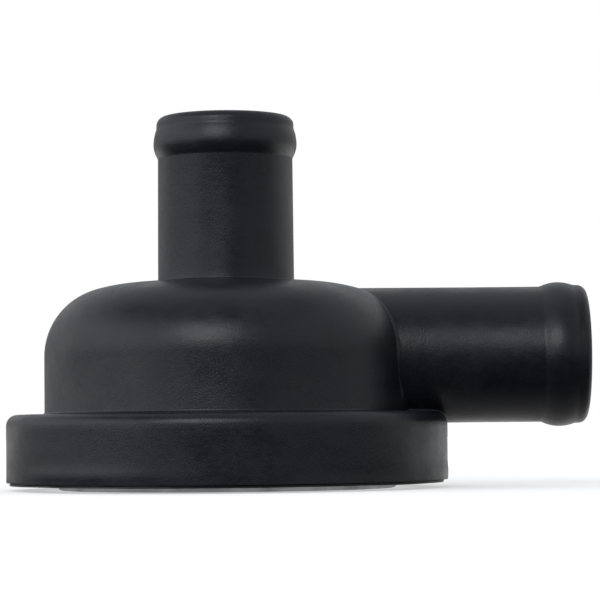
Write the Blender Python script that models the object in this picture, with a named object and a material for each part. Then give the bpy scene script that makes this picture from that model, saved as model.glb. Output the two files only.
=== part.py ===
"""Crankcase ventilation valve, in metres, +Z up.

A moulded housing has a centre port that runs down inside it to a round seat, and a side port that opens
into the chamber round that seat. A rubber diaphragm closes the bottom of the chamber. It carries a plate,
which a coil spring holds away from the seat, and which rises and throttles the centre port when the
suction there grows. A steel cover, held by the housing's folded lip, closes the air side.

The origin is the middle of the cover's outer face, on the axis that the plate slides along.
"""

import math

import bmesh
import bpy
from mathutils import Matrix, Vector

# Driving sizes, in metres. Fits
SEAT_GAP = 0.0003  # between two pieces that seat on each other
SPRING_PLAY = 0.0004  # between the spring and what keeps it in place sideways

# The two hose ports, which are alike but for their lengths and the back of their beads
PORT_RADIUS = 0.0125
PORT_DRAFT = 0.0001  # radius that a port loses from its root to its end
PORT_WALL = 0.0023
PORT_EDGE_ROUND = 0.0015
PORT_END_FLARE = 0.00025  # radius that the end keeps over the pipe's, in front of the bead
PORT_BORE_CHAMFER = 0.0003
HOSE_BEAD_HEIGHT = 0.0008
HOSE_BEAD_FRONT = 0.0031  # from the bead's crest to its root near the port's end
HOSE_BEAD_INSET = 0.0051  # from the port's end to the bead's crest
CENTRE_BEAD_BACK = 0.0028  # from the bead's crest to its root on the centre port's pipe
SIDE_BEAD_BACK = 0.0035  # the same on the side port
CENTRE_PORT_LENGTH = 0.0305  # from the dome's crown to the port's end
SIDE_PORT_LENGTH = 0.0327  # from the dome's wall to the port's end
SIDE_PORT_SINK = 0.00225  # how far the side port dips below the skirt's top
SIDE_PORT_FILLET = 0.0010

# The dome
DOME_RADIUS = 0.0335
DOME_WALL = 0.0025
SHOULDER_MARGIN = 0.0002  # the shoulder turns round the side port, this much outside it
SHOULDER_END_SLOPE = 16.0  # degrees
CROWN_RADIUS = 0.0300
CROWN_SLOPE = 4.2  # degrees
DOME_FOOT_FILLET = 0.0004

# The skirt and its folded lip
FLANGE_WIDTH = 0.0070  # from the dome's wall to the skirt's outside
FLANGE_RISE = 0.00015  # the flange climbs this much towards the dome
SKIRT_HEIGHT = 0.01275
SKIRT_WALL = 0.0025
SKIRT_ROOF = 0.0025
SKIRT_ROUND = 0.0020
SKIRT_FOOT_CHAMFER = 0.0002
LIP_THICKNESS = 0.00075
LIP_SETBACK = 0.0007  # from the skirt's outside to the lip's outside
LIP_STEP = 0.0003  # from the lip's underside up to the skirt's foot
LIP_OVERHANG = 0.0044  # from the skirt's inside to the lip's opening

# The steel cover
COVER_THICKNESS = 0.0008
COVER_STEP = 0.0015  # from the pressed face up to the rim that the lip holds
COVER_RIM_WIDTH = 0.0066
COVER_BEND = 0.0007  # outer bend radius of the pressed face
VENT_RADIUS = 0.00125
VENT_OFFSET = 0.0140

# The diaphragm and the ring that clamps its edge
MEMBRANE_THICKNESS = 0.0008
EDGE_BEAD_WIDTH = 0.0028
EDGE_BEAD_HEIGHT = 0.0028
EDGE_BEAD_ROUND = 0.0006
CONVOLUTION_WIDTH = 0.0095  # free membrane between the plate and the edge bead
CLAMP_RING_CHAMFER = 0.0008

# The plate that the diaphragm carries
STROKE = 0.0060
BACKING_THICKNESS = 0.0008
BACKING_MARGIN = 0.0008  # flat membrane outside the backing washer
DISC_THICKNESS = 0.0015
DISC_MARGIN = 0.0010  # backing washer outside the disc
DISC_HUB_RADIUS = 0.0050
DISC_HUB_HEIGHT = 0.0006
DISC_RIB_COUNT = 8
DISC_RIB_THICKNESS = 0.0011
DISC_RIB_HEIGHT = 0.0008
LOCATOR_HEIGHT = 0.0014
LOCATOR_WALL = 0.0012
RIVET_RADIUS = 0.0020
RIVET_HEAD_RADIUS = 0.0040
RIVET_HEAD_THICKNESS = 0.0006
RIVET_FLARE_RADIUS = 0.0033

# The seat tube, the spring and the ribs that it pushes against
SEAT_TUBE_WALL = 0.0018
SEAT_CHAMFER = 0.0005
SPRING_WIRE = 0.0010  # diameter
SPRING_LENGTH = 0.0140  # as fitted, with the plate down
SPRING_TURNS = 5.25
SPRING_STAND_OFF = 0.0012  # from the seat tube to the coils
RIB_COUNT = 6
RIB_THICKNESS = 0.0015
RIB_GUIDE_WIDTH = 0.0014
RIB_GUIDE_DEPTH = 0.0012

# Facets round one turn
HOUSING_FACETS = 60
CHAMBER_FACETS = 48
PORT_FACETS = 40
DISC_FACETS = 40
RIVET_FACETS = 24
VENT_FACETS = 12
COIL_POINTS = 22
OVERRUN = 0.002  # how far a cutter runs past the wall that it cuts

# Sizes that follow from those above
port_bore = PORT_RADIUS - PORT_WALL
skirt_radius = DOME_RADIUS + FLANGE_WIDTH
skirt_inside = skirt_radius - SKIRT_WALL
lip_opening = skirt_inside - LIP_OVERHANG
cover_radius = skirt_inside - SEAT_GAP
pressed_radius = cover_radius - COVER_RIM_WIDTH
edge_bead_inside = cover_radius - EDGE_BEAD_WIDTH
flat_radius = edge_bead_inside - CONVOLUTION_WIDTH
backing_radius = flat_radius - BACKING_MARGIN
disc_radius = backing_radius - DISC_MARGIN
rivet_hole = RIVET_RADIUS + SEAT_GAP
seat_tube_radius = port_bore + SEAT_TUBE_WALL
coil_radius = seat_tube_radius + SPRING_STAND_OFF + SPRING_WIRE / 2
locator_radius = coil_radius + SPRING_WIRE / 2 + SPRING_PLAY
rib_radius = locator_radius + RIB_GUIDE_WIDTH

# Heights, from the bottom up
lip_top = COVER_STEP - SEAT_GAP
lip_bottom = lip_top - LIP_THICKNESS
skirt_top = lip_top + SKIRT_HEIGHT
skirt_ceiling = skirt_top - SKIRT_ROOF
side_port_height = skirt_top + PORT_RADIUS - SIDE_PORT_SINK
rivet_bottom = COVER_THICKNESS + SEAT_GAP
backing_bottom = rivet_bottom + RIVET_HEAD_THICKNESS + SEAT_GAP
membrane_bottom = backing_bottom + BACKING_THICKNESS + SEAT_GAP
disc_bottom = membrane_bottom + MEMBRANE_THICKNESS + SEAT_GAP
disc_top = disc_bottom + DISC_THICKNESS
seat_height = disc_top + STROKE + SEAT_GAP
spring_bottom = disc_top + SEAT_GAP
spring_top = spring_bottom + SPRING_LENGTH
edge_bead_top = skirt_ceiling - SEAT_GAP
edge_bead_bottom = edge_bead_top - EDGE_BEAD_HEIGHT
clamp_ring_bottom = COVER_STEP + COVER_THICKNESS + SEAT_GAP
clamp_ring_top = edge_bead_bottom - SEAT_GAP

# The dome's shoulder and crown are two arcs that meet where the slope is SHOULDER_END_SLOPE
shoulder_radius = PORT_RADIUS + SHOULDER_MARGIN
shoulder_centre = Vector((DOME_RADIUS - shoulder_radius, side_port_height + SHOULDER_MARGIN))
shoulder_end = math.radians(90.0 - SHOULDER_END_SLOPE)
crown_end = math.radians(90.0 - CROWN_SLOPE)
crown_centre = shoulder_centre + (shoulder_radius - CROWN_RADIUS) * Vector(
    (math.cos(shoulder_end), math.sin(shoulder_end))
)


def arc(centre, radius, start, end, steps):
    """Points (r, z) along an arc, both ends among them. Angles are in radians, from +r towards +z."""
    angles = [start + (end - start) * i / steps for i in range(steps + 1)]
    return [(centre[0] + radius * math.cos(a), centre[1] + radius * math.sin(a)) for a in angles]


def dome_arcs(outset, shoulder_steps, crown_steps):
    """The dome's profile this far outside its outer face, from the top of the wall to the axis."""
    points = arc(shoulder_centre, shoulder_radius + outset, 0.0, shoulder_end, shoulder_steps)
    points += arc(crown_centre, CROWN_RADIUS + outset, shoulder_end, crown_end, crown_steps)[1:]
    last_r, last_z = points[-1]
    return points + [(0.0, last_z + last_r * math.tan(math.radians(CROWN_SLOPE)))]


def dome_at(height, outset):
    """(radius, normal r, normal z) of the dome's face moved out by outset, at this height."""
    shoulder, crown = shoulder_radius + outset, CROWN_RADIUS + outset
    if height <= shoulder_centre.y:
        return DOME_RADIUS + outset, 1.0, 0.0
    if height <= shoulder_centre.y + shoulder * math.sin(shoulder_end):
        angle = math.asin((height - shoulder_centre.y) / shoulder)
        return shoulder_centre.x + shoulder * math.cos(angle), math.cos(angle), math.sin(angle)
    angle = math.asin(min(1.0, (height - crown_centre.y) / crown))
    return crown_centre.x + crown * math.cos(angle), math.cos(angle), math.sin(angle)


def dome_height_at(radius):
    """Height of the dome's crown cone at this radius."""
    edge = CROWN_RADIUS * math.cos(crown_end) + crown_centre.x
    rise = (edge - radius) * math.tan(math.radians(CROWN_SLOPE))
    return crown_centre.y + CROWN_RADIUS * math.sin(crown_end) + rise


def finish_mesh(mesh, name, sharp_angle=35.0):
    """Makes a mesh an object in the scene, shaded smooth but for its sharp edges."""
    mesh.shade_smooth()
    mesh.set_sharp_from_angle(angle=math.radians(sharp_angle))
    made = bpy.data.objects.new(name, mesh)
    bpy.context.scene.collection.objects.link(made)
    return made


def join_flat_ends(shape):
    """Makes each flat end on the axis one face, since the edges of a fan can lie along a cutter's."""
    tiny = 1e-7
    middles = [v for v in shape.verts if math.hypot(v.co.x, v.co.y) < tiny]
    flat = [v for v in middles if all(abs(face.normal.z) > 1.0 - tiny for face in v.link_faces)]
    bmesh.ops.dissolve_verts(shape, verts=flat)


def turned(name, profile, facets, place=None, closed=False):
    """A solid turned about Z from (r, z) points, from axis to axis, or round a ring if closed."""
    shape = bmesh.new()
    verts = [shape.verts.new((r, 0.0, z)) for r, z in profile]
    edges = [shape.edges.new(pair) for pair in zip(verts, verts[1:])]
    if closed:
        edges.append(shape.edges.new((verts[-1], verts[0])))
    line, about = verts + edges, {"cent": (0, 0, 0), "axis": (0, 0, 1)}
    bmesh.ops.spin(shape, geom=line, angle=math.tau, steps=facets, use_merge=True, **about)
    bmesh.ops.remove_doubles(shape, verts=shape.verts, dist=1e-7)
    bmesh.ops.recalc_face_normals(shape, faces=shape.faces)
    join_flat_ends(shape)
    if place is not None:
        bmesh.ops.transform(shape, matrix=place, verts=shape.verts)
    mesh = bpy.data.meshes.new(name)
    shape.to_mesh(mesh)
    shape.free()
    return finish_mesh(mesh, name)


def rib_set(name, outline, thickness, count, turn=0.0):
    """Flat ribs, each an (r, z) outline of this thickness standing on a radius, evenly spaced."""
    shape = bmesh.new()
    for i in range(count):
        face = shape.faces.new([shape.verts.new((r, -thickness / 2, z)) for r, z in outline])
        grown = bmesh.ops.extrude_face_region(shape, geom=[face])
        moved = [v for v in grown["geom"] if isinstance(v, bmesh.types.BMVert)]
        bmesh.ops.translate(shape, verts=moved, vec=(0, thickness, 0))
        rib = set(face.verts) | set(moved)
        spin = Matrix.Rotation(turn + math.tau * i / count, 4, "Z")
        bmesh.ops.transform(shape, matrix=spin, verts=list(rib))
    bmesh.ops.recalc_face_normals(shape, faces=shape.faces)
    mesh = bpy.data.meshes.new(name)
    shape.to_mesh(mesh)
    shape.free()
    return finish_mesh(mesh, name)


def combine(target, tool, operation):
    """Adds a live Boolean to target, and keeps its tool out of the render."""
    step = target.modifiers.new(tool.name, "BOOLEAN")
    step.operation = operation
    step.object = tool
    step.solver = "EXACT"
    tool.hide_render = True
    tool.display_type = "WIRE"


def paint(obj, name, colour, roughness, metallic=0.0):
    """Gives an object a plain Principled material."""
    material = bpy.data.materials.get(name) or bpy.data.materials.new(name)
    material.use_nodes = True
    shader = material.node_tree.nodes["Principled BSDF"]
    shader.inputs["Base Color"].default_value = (*colour, 1.0)
    shader.inputs["Roughness"].default_value = roughness
    shader.inputs["Metallic"].default_value = metallic
    material.diffuse_color = (*colour, 1.0)
    obj.data.materials.clear()
    obj.data.materials.append(material)


def bead_rise(share, foot=0.0):
    """Height of the hose bead at this share of the way from its crest to a root that lies foot high."""
    arc_share = 0.88
    if share < arc_share:
        rise = 1.0 - share * share / arc_share
    else:
        rise = (1.0 - share) ** 2 / (1.0 - arc_share)
    return foot + (HOSE_BEAD_HEIGHT - foot) * rise


def port_profile(root, end, bead_back):
    """Outside of a hose port from (0, root) to (0, end), with its bead and rounded edge."""
    tip_radius, flare = PORT_RADIUS - PORT_DRAFT, PORT_END_FLARE
    crest = end - HOSE_BEAD_INSET
    points = [(0.0, root), (PORT_RADIUS, root)]
    shares = (1.0, 0.88, 0.6, 0.3, 0.0)
    points += [(tip_radius + bead_rise(share), crest - share * bead_back) for share in shares]
    shares = shares[-2::-1]
    points += [(tip_radius + bead_rise(share, flare), crest + share * HOSE_BEAD_FRONT) for share in shares]
    corner = (tip_radius + flare - PORT_EDGE_ROUND, end - PORT_EDGE_ROUND)
    points += arc(corner, PORT_EDGE_ROUND, 0.0, math.pi / 2, 3)
    return points + [(0.0, end)]


def bore_profile(start, end):
    """A port's bore from start to past its end. The chamfer of its mouth runs on as a cone."""
    mouth = port_bore + PORT_BORE_CHAMFER
    return [
        (0.0, start),
        (port_bore, start),
        (port_bore, end - PORT_BORE_CHAMFER),
        (mouth + OVERRUN, end + OVERRUN),
        (0.0, end + OVERRUN),
    ]


def dome_and_skirt():
    """The housing's outside without its ports, as a full solid."""
    flange_z = skirt_top - FLANGE_RISE
    corner = (skirt_radius - SKIRT_ROUND, flange_z - SKIRT_ROUND)
    foot = (DOME_RADIUS + DOME_FOOT_FILLET, skirt_top + DOME_FOOT_FILLET)
    lip_radius, foot_z = skirt_radius - LIP_SETBACK, lip_bottom + LIP_STEP
    profile = [(0.0, lip_bottom), (lip_radius, lip_bottom), (lip_radius, foot_z)]
    profile += [(skirt_radius - SKIRT_FOOT_CHAMFER, foot_z), (skirt_radius, foot_z + SKIRT_FOOT_CHAMFER)]
    profile += arc(corner, SKIRT_ROUND, 0.0, math.pi / 2, 4)
    profile += arc(foot, DOME_FOOT_FILLET, -math.pi / 2, -math.pi, 2)
    profile += dome_arcs(0.0, 8, 2)
    return turned("housing", profile, HOUSING_FACETS)


def chamber_core():
    """The room inside the housing: under the lip, in the skirt, and in the dome round the seat tube."""
    ceiling = dome_arcs(-DOME_WALL, 5, 1)
    roof_r, roof_z = ceiling[-2]
    roof_at_tube = roof_z + (roof_r - seat_tube_radius) * math.tan(math.radians(CROWN_SLOPE))
    profile = [(0.0, lip_bottom - OVERRUN), (lip_opening, lip_bottom - OVERRUN), (lip_opening, lip_top)]
    profile += [(skirt_inside, lip_top), (skirt_inside, skirt_ceiling)]
    profile += [(DOME_RADIUS - DOME_WALL, skirt_ceiling)]
    profile += ceiling[:-1]
    profile += [(seat_tube_radius, roof_at_tube), (seat_tube_radius, seat_height + SEAT_CHAMFER)]
    profile += [(seat_tube_radius - SEAT_CHAMFER, seat_height), (0.0, seat_height)]
    core = turned("chamber_core", profile, CHAMBER_FACETS)
    combine(core, spring_ribs(roof_at_tube), "DIFFERENCE")
    return core


def spring_ribs(roof):
    """Ribs down the outside of the seat tube. The spring pushes on their ends, inside a short guide."""
    seat = spring_top + SEAT_GAP
    root = seat_tube_radius - OVERRUN / 4
    outline = [(root, roof + OVERRUN), (root, seat), (locator_radius, seat)]
    outline += [(locator_radius, seat - RIB_GUIDE_DEPTH), (rib_radius, seat - RIB_GUIDE_DEPTH)]
    outline += [(rib_radius, roof + OVERRUN)]
    half_step = math.pi / RIB_COUNT
    return rib_set("spring_ribs", outline, RIB_THICKNESS, RIB_COUNT, turn=half_step)


def side_port_blank(start, end):
    """The side port as a full solid, its root flared into the dome as a rolled ball would leave it."""
    ball, steps = SIDE_PORT_FILLET, 4
    sunk = ball / 12  # the flare's rim lies this far under the dome's face, so that it crosses it cleanly
    axis = Vector((0.0, 0.0, side_port_height))
    shape = bmesh.new()
    sections = []
    for i in range(PORT_FACETS):
        turn = math.tau * i / PORT_FACETS
        outward = Vector((0.0, math.sin(turn), math.cos(turn)))
        centre = axis + outward * (PORT_RADIUS + ball)
        radius, normal_r, normal_z = dome_at(centre.z, ball - sunk)
        centre.x = math.sqrt(radius**2 - centre.y**2)
        plan = Vector((centre.x, centre.y)).normalized()
        to_dome = -Vector((normal_r * plan.x, normal_r * plan.y, normal_z))
        points = [Vector((start, 0.0, side_port_height))]
        points += [points[0] + outward * PORT_RADIUS, centre + 1.5 * ball * to_dome]
        points += [centre + ball * to_dome.slerp(-outward, k / steps) for k in range(steps + 1)]
        straight = port_profile(start, end, SIDE_BEAD_BACK)[2:]
        points += [axis + Vector((along, 0.0, 0.0)) + outward * r for r, along in straight]
        sections.append([shape.verts.new(point) for point in points])
    for one, other in zip(sections, sections[1:] + sections[:1]):
        for a, b, c, d in zip(one, one[1:], other[1:], other):
            shape.faces.new((a, b, c, d))
    bmesh.ops.remove_doubles(shape, verts=shape.verts, dist=1e-7)
    bmesh.ops.recalc_face_normals(shape, faces=shape.faces)
    mesh = bpy.data.meshes.new("side_port_blank")
    shape.to_mesh(mesh)
    shape.free()
    return finish_mesh(mesh, "side_port_blank")


def make_housing():
    """One moulding: dome, skirt, folded lip, two ports, seat tube and spring ribs."""
    housing = dome_and_skirt()
    along_x = Matrix.Translation((0, 0, side_port_height)) @ Matrix.Rotation(math.pi / 2, 4, "Y")
    centre_end = dome_height_at(PORT_RADIUS) + CENTRE_PORT_LENGTH
    side_end = DOME_RADIUS + SIDE_PORT_LENGTH
    centre_outline = port_profile(side_port_height, centre_end, CENTRE_BEAD_BACK)
    centre_port = turned("centre_port_blank", centre_outline, PORT_FACETS)
    side_start = rib_radius + OVERRUN / 4
    centre_bore = turned("centre_bore", bore_profile(seat_height - OVERRUN, centre_end), PORT_FACETS)
    side_bore = turned("side_bore", bore_profile(side_start, side_end), PORT_FACETS, along_x)
    combine(housing, centre_port, "UNION")
    combine(housing, side_port_blank(side_start, side_end), "UNION")
    combine(housing, chamber_core(), "DIFFERENCE")
    combine(housing, centre_bore, "DIFFERENCE")
    combine(housing, side_bore, "DIFFERENCE")
    paint(housing, "black glass-filled nylon", (0.028, 0.030, 0.033), 0.5)


def make_cover():
    """Pressed steel disc: a flat face that stands out, a step, a rim under the lip, and a vent hole."""
    bend, sheet = COVER_BEND, COVER_THICKNESS
    inner_bend = max(bend - sheet / 2, bend / 4)
    under_rim = (pressed_radius + bend, COVER_STEP - bend)
    over_rim = (pressed_radius - sheet + inner_bend, COVER_STEP + sheet - inner_bend)
    profile = [(0.0, 0.0)]
    profile += arc((pressed_radius - bend, bend), bend, -math.pi / 2, 0.0, 3)
    profile += [(pressed_radius, COVER_STEP), (cover_radius, COVER_STEP)]
    profile += [(cover_radius, COVER_STEP + sheet)]
    profile += arc(
        (pressed_radius - sheet + bend, COVER_STEP + sheet - bend), bend, math.pi / 2, math.pi, 3
    )
    profile += [(pressed_radius - sheet, sheet), (0.0, sheet)]
    cover = turned("cover", profile, HOUSING_FACETS)
    low, high = -OVERRUN, sheet + OVERRUN
    drill = [(0.0, low), (VENT_RADIUS, low), (VENT_RADIUS, high), (0.0, high)]
    vent = turned("vent_drill", drill, VENT_FACETS, Matrix.Translation((-VENT_OFFSET, 0, 0)))
    combine(cover, vent, "DIFFERENCE")
    paint(cover, "zinc-plated steel", (0.55, 0.55, 0.56), 0.38, 1.0)


def make_clamp_ring():
    """Moulded ring that the cover presses up against the diaphragm's edge bead."""
    chamfer = CLAMP_RING_CHAMFER
    profile = [(edge_bead_inside, clamp_ring_bottom), (cover_radius, clamp_ring_bottom)]
    profile += [(cover_radius, clamp_ring_top), (edge_bead_inside + chamfer, clamp_ring_top)]
    profile += [(edge_bead_inside, clamp_ring_top - chamfer)]
    ring = turned("clamp_ring", profile, DISC_FACETS, closed=True)
    paint(ring, "black nylon", (0.035, 0.036, 0.038), 0.55)


def membrane_line(steps):
    """Middle of the free membrane, from the plate out to the edge bead, as (point, upward normal) pairs."""
    low = membrane_bottom + MEMBRANE_THICKNESS / 2
    high = (edge_bead_top + edge_bead_bottom) / 2
    line = []
    for i in range(steps + 1):
        t = i / steps
        height = low + (high - low) * (1 - math.cos(math.pi * t)) / 2
        point = Vector((flat_radius + CONVOLUTION_WIDTH * t, height))
        slope = (high - low) * math.pi * math.sin(math.pi * t) / 2 / CONVOLUTION_WIDTH
        line.append((point, Vector((-slope, 1.0)).normalized()))
    return line


def make_diaphragm():
    """Rubber membrane: flat where the plate grips it, a deep free fold, and a thick bead round its edge."""
    half, steps = MEMBRANE_THICKNESS / 2, 6
    line = membrane_line(steps)
    upper = [tuple(point + normal * half) for point, normal in line]
    lower = [tuple(point - normal * half) for point, normal in line]
    bead, soft = EDGE_BEAD_ROUND, math.pi / 2
    left, right = edge_bead_inside + bead, cover_radius - bead
    bottom, top = edge_bead_bottom + bead, edge_bead_top - bead
    profile = [(rivet_hole, membrane_bottom)] + lower
    profile += arc((left, bottom), bead, -2 * soft, -soft, 2) + arc((right, bottom), bead, -soft, 0.0, 2)
    profile += arc((right, top), bead, 0.0, soft, 2) + arc((left, top), bead, soft, 2 * soft, 2)
    profile += upper[::-1] + [(rivet_hole, membrane_bottom + MEMBRANE_THICKNESS)]
    diaphragm = turned("diaphragm", profile, DISC_FACETS, closed=True)
    paint(diaphragm, "black rubber", (0.02, 0.02, 0.02), 0.7)


def make_valve_disc():
    """Moulded disc on the chamber side, with a face for the seat, a spring pocket and stiffening ribs."""
    round_edge = DISC_THICKNESS / 3
    hub_top = disc_top + DISC_HUB_HEIGHT
    locator_top = disc_top + LOCATOR_HEIGHT
    outer_wall = locator_radius + LOCATOR_WALL
    profile = [(rivet_hole, disc_bottom), (disc_radius, disc_bottom)]
    profile += [(disc_radius, disc_top - round_edge), (disc_radius - round_edge, disc_top)]
    profile += [(outer_wall, disc_top), (outer_wall, locator_top), (locator_radius, locator_top)]
    profile += [(locator_radius, disc_top), (DISC_HUB_RADIUS, disc_top), (DISC_HUB_RADIUS, hub_top)]
    profile += [(rivet_hole, hub_top)]
    disc = turned("valve_disc", profile, DISC_FACETS, closed=True)
    inner, outer = outer_wall - LOCATOR_WALL / 2, disc_radius - 2 * round_edge
    low, high = disc_top - DISC_THICKNESS / 2, disc_top + DISC_RIB_HEIGHT
    outline = [(inner, low), (outer, low), (outer, disc_top)]
    outline += [(outer - DISC_RIB_HEIGHT, high), (inner, high)]
    combine(disc, rib_set("disc_ribs", outline, DISC_RIB_THICKNESS, DISC_RIB_COUNT), "UNION")
    paint(disc, "black acetal", (0.030, 0.030, 0.031), 0.42)


def make_backing_washer():
    """Steel washer on the air side of the membrane, with a rounded edge."""
    edge = BACKING_THICKNESS / 2
    middle = (backing_radius - edge, backing_bottom + edge)
    profile = [(rivet_hole, backing_bottom)]
    profile += arc(middle, edge, -math.pi / 2, math.pi / 2, 4)
    profile += [(rivet_hole, backing_bottom + BACKING_THICKNESS)]
    washer = turned("backing_washer", profile, DISC_FACETS, closed=True)
    paint(washer, "zinc-plated steel", (0.55, 0.55, 0.56), 0.38, 1.0)


def make_rivet():
    """Rivet through the washer, the membrane and the disc. Its head is the plate's lower stop."""
    head_top = rivet_bottom + RIVET_HEAD_THICKNESS
    flare = disc_top + DISC_HUB_HEIGHT + SEAT_GAP
    flare_top = flare + RIVET_HEAD_THICKNESS
    soft = RIVET_HEAD_THICKNESS / 2
    profile = [(0.0, rivet_bottom), (RIVET_HEAD_RADIUS - soft, rivet_bottom)]
    profile += [(RIVET_HEAD_RADIUS, rivet_bottom + soft)]
    profile += [(RIVET_HEAD_RADIUS, head_top), (RIVET_RADIUS, head_top), (RIVET_RADIUS, flare)]
    profile += [(RIVET_FLARE_RADIUS, flare), (RIVET_FLARE_RADIUS - soft, flare_top)]
    profile += [(RIVET_RADIUS / 2, flare_top), (RIVET_RADIUS / 2, flare), (0.0, flare)]
    rivet = turned("plate_rivet", profile, RIVET_FACETS)
    paint(rivet, "zinc-plated steel", (0.55, 0.55, 0.56), 0.38, 1.0)


def coil_line():
    """Points of the spring's wire: a closed turn at each end, and the open turns between them."""
    closed_rise = 1.12 * SPRING_WIRE
    tip = 0.12 * SPRING_WIRE  # the ground ends take away the rest of the wire's thickness
    low, high = spring_bottom + tip, spring_top - tip
    open_turns = SPRING_TURNS - 2.0
    open_rise = (high - low - 2 * closed_rise) / open_turns
    points = []
    count = round(SPRING_TURNS * COIL_POINTS)
    for i in range(count + 1):
        turn = SPRING_TURNS * i / count
        climbed = closed_rise * min(turn, 1.0) + open_rise * min(max(turn - 1.0, 0.0), open_turns)
        climbed += closed_rise * max(turn - 1.0 - open_turns, 0.0)
        angle = math.tau * turn
        points.append((coil_radius * math.cos(angle), coil_radius * math.sin(angle), low + climbed))
    return points


def make_spring():
    """Compression spring round the seat tube, its end turns closed and ground flat."""
    wire = bpy.data.curves.new("spring_wire", "CURVE")
    wire.dimensions = "3D"
    wire.bevel_depth = SPRING_WIRE / 2
    wire.bevel_resolution = 1
    wire.use_fill_caps = True
    points = coil_line()
    line = wire.splines.new("POLY")
    line.points.add(len(points) - 1)
    for target, point in zip(line.points, points):
        target.co = (*point, 1.0)
    guide = bpy.data.objects.new("spring_wire", wire)
    bpy.context.scene.collection.objects.link(guide)
    mesh = bpy.data.meshes.new_from_object(guide.evaluated_get(bpy.context.evaluated_depsgraph_get()))
    bpy.data.objects.remove(guide)
    shape = bmesh.new()
    shape.from_mesh(mesh)
    bmesh.ops.remove_doubles(shape, verts=shape.verts, dist=1e-7)
    bmesh.ops.recalc_face_normals(shape, faces=shape.faces)
    shape.to_mesh(mesh)
    shape.free()
    spring = finish_mesh(mesh, "spring", sharp_angle=60.0)
    reach = coil_radius + SPRING_WIRE
    for name, start, end in (
        ("lower_grinding", spring_bottom - SPRING_WIRE, spring_bottom),
        ("upper_grinding", spring_top, spring_top + SPRING_WIRE),
    ):
        slab = turned(name, [(0.0, start), (reach, start), (reach, end), (0.0, end)], RIVET_FACETS)
        combine(spring, slab, "DIFFERENCE")
    paint(spring, "spring steel", (0.45, 0.45, 0.46), 0.3, 1.0)


def gather(name, location, nodes):
    """Parents nodes to an empty at this place, without moving them."""
    holder = bpy.data.objects.new(name, None)
    bpy.context.scene.collection.objects.link(holder)
    holder.location = location
    bpy.context.view_layer.update()
    for node in nodes:
        piece = bpy.data.objects[node]
        piece.parent = holder
        piece.matrix_parent_inverse = holder.matrix_world.inverted()


def main():
    for old in list(bpy.data.objects):
        bpy.data.objects.remove(old)
    make_housing()
    make_cover()
    make_clamp_ring()
    make_diaphragm()
    make_spring()
    make_valve_disc()
    make_backing_washer()
    make_rivet()
    gather("fixed_body", (0, 0, 0), ["housing", "cover", "clamp_ring", "diaphragm", "spring"])
    gather("plate_slide_axis", (0, 0, disc_bottom), ["valve_disc", "backing_washer", "plate_rivet"])


main()
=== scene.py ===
"""Looks of a crankcase ventilation valve: a black moulded housing with two hose ports, and the valve inside.

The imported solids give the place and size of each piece. Every piece is modelled again here with its rounds,
folds and mould marks, and stands for its solid. Lengths are metres, in the solids' own frame.
"""

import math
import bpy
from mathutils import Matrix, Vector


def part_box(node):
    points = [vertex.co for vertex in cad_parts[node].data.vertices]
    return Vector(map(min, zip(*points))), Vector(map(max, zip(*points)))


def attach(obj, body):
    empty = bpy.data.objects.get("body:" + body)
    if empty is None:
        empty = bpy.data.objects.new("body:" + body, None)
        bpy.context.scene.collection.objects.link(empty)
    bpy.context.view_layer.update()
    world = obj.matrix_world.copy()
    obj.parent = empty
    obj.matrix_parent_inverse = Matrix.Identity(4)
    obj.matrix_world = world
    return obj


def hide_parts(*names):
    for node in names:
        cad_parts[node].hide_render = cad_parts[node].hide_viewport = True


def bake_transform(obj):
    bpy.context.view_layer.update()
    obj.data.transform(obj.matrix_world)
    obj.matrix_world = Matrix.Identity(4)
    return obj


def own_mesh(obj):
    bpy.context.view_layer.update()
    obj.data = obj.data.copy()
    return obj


bl_info = {
    "name": "Crankcase Ventilation Valve",
    "version": (1, 0, 0),
    "blender": (4, 5, 0),
    "location": "3D Viewport > Sidebar > Vent Valve",
    "description": "Models and finishes a moulded diaphragm valve round its packed solids",
    "category": "Object",
}

import bmesh
import bpy
from mathutils import Matrix, Vector, noise

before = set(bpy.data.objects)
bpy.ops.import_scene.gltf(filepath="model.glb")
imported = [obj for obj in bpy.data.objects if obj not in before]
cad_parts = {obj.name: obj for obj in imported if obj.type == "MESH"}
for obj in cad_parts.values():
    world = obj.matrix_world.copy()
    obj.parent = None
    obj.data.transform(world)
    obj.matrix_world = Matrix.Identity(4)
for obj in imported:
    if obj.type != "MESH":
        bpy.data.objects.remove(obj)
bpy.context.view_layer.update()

MM = 0.001
WELD = 1e-7  # points nearer than this are one point
RIGHT_ANGLE = math.pi / 2

housing_low, housing_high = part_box("housing")
cover_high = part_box("cover")[1]
ring_low, ring_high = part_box("clamp_ring")
rubber_low, rubber_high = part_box("diaphragm")
disc_low, disc_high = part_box("valve_disc")
washer_low, washer_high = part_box("backing_washer")
rivet_low, rivet_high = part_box("plate_rivet")
spring_low, spring_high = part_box("spring")


def length(name, description, default):
    """A length that a user may set, shown in the scene's own unit."""
    return bpy.props.FloatProperty(
        name=name, description=description, default=default, precision=5, unit="LENGTH", subtype="DISTANCE"
    )


def degrees(name, description, default):
    """An angle that a user may set, given in degrees."""
    start = math.radians(default)
    return bpy.props.FloatProperty(name=name, description=description, default=start, subtype="ANGLE")


def number(name, description, default):
    """A plain number that a user may set."""
    return bpy.props.FloatProperty(name=name, description=description, default=default)


def count(name, description, default):
    """A whole number that a user may set."""
    return bpy.props.IntProperty(name=name, description=description, default=default)


def colour(name, description, default):
    """A colour that a user may set, kept as its sRGB hex value."""
    return bpy.props.StringProperty(name=name, description=description, default=default)


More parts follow.
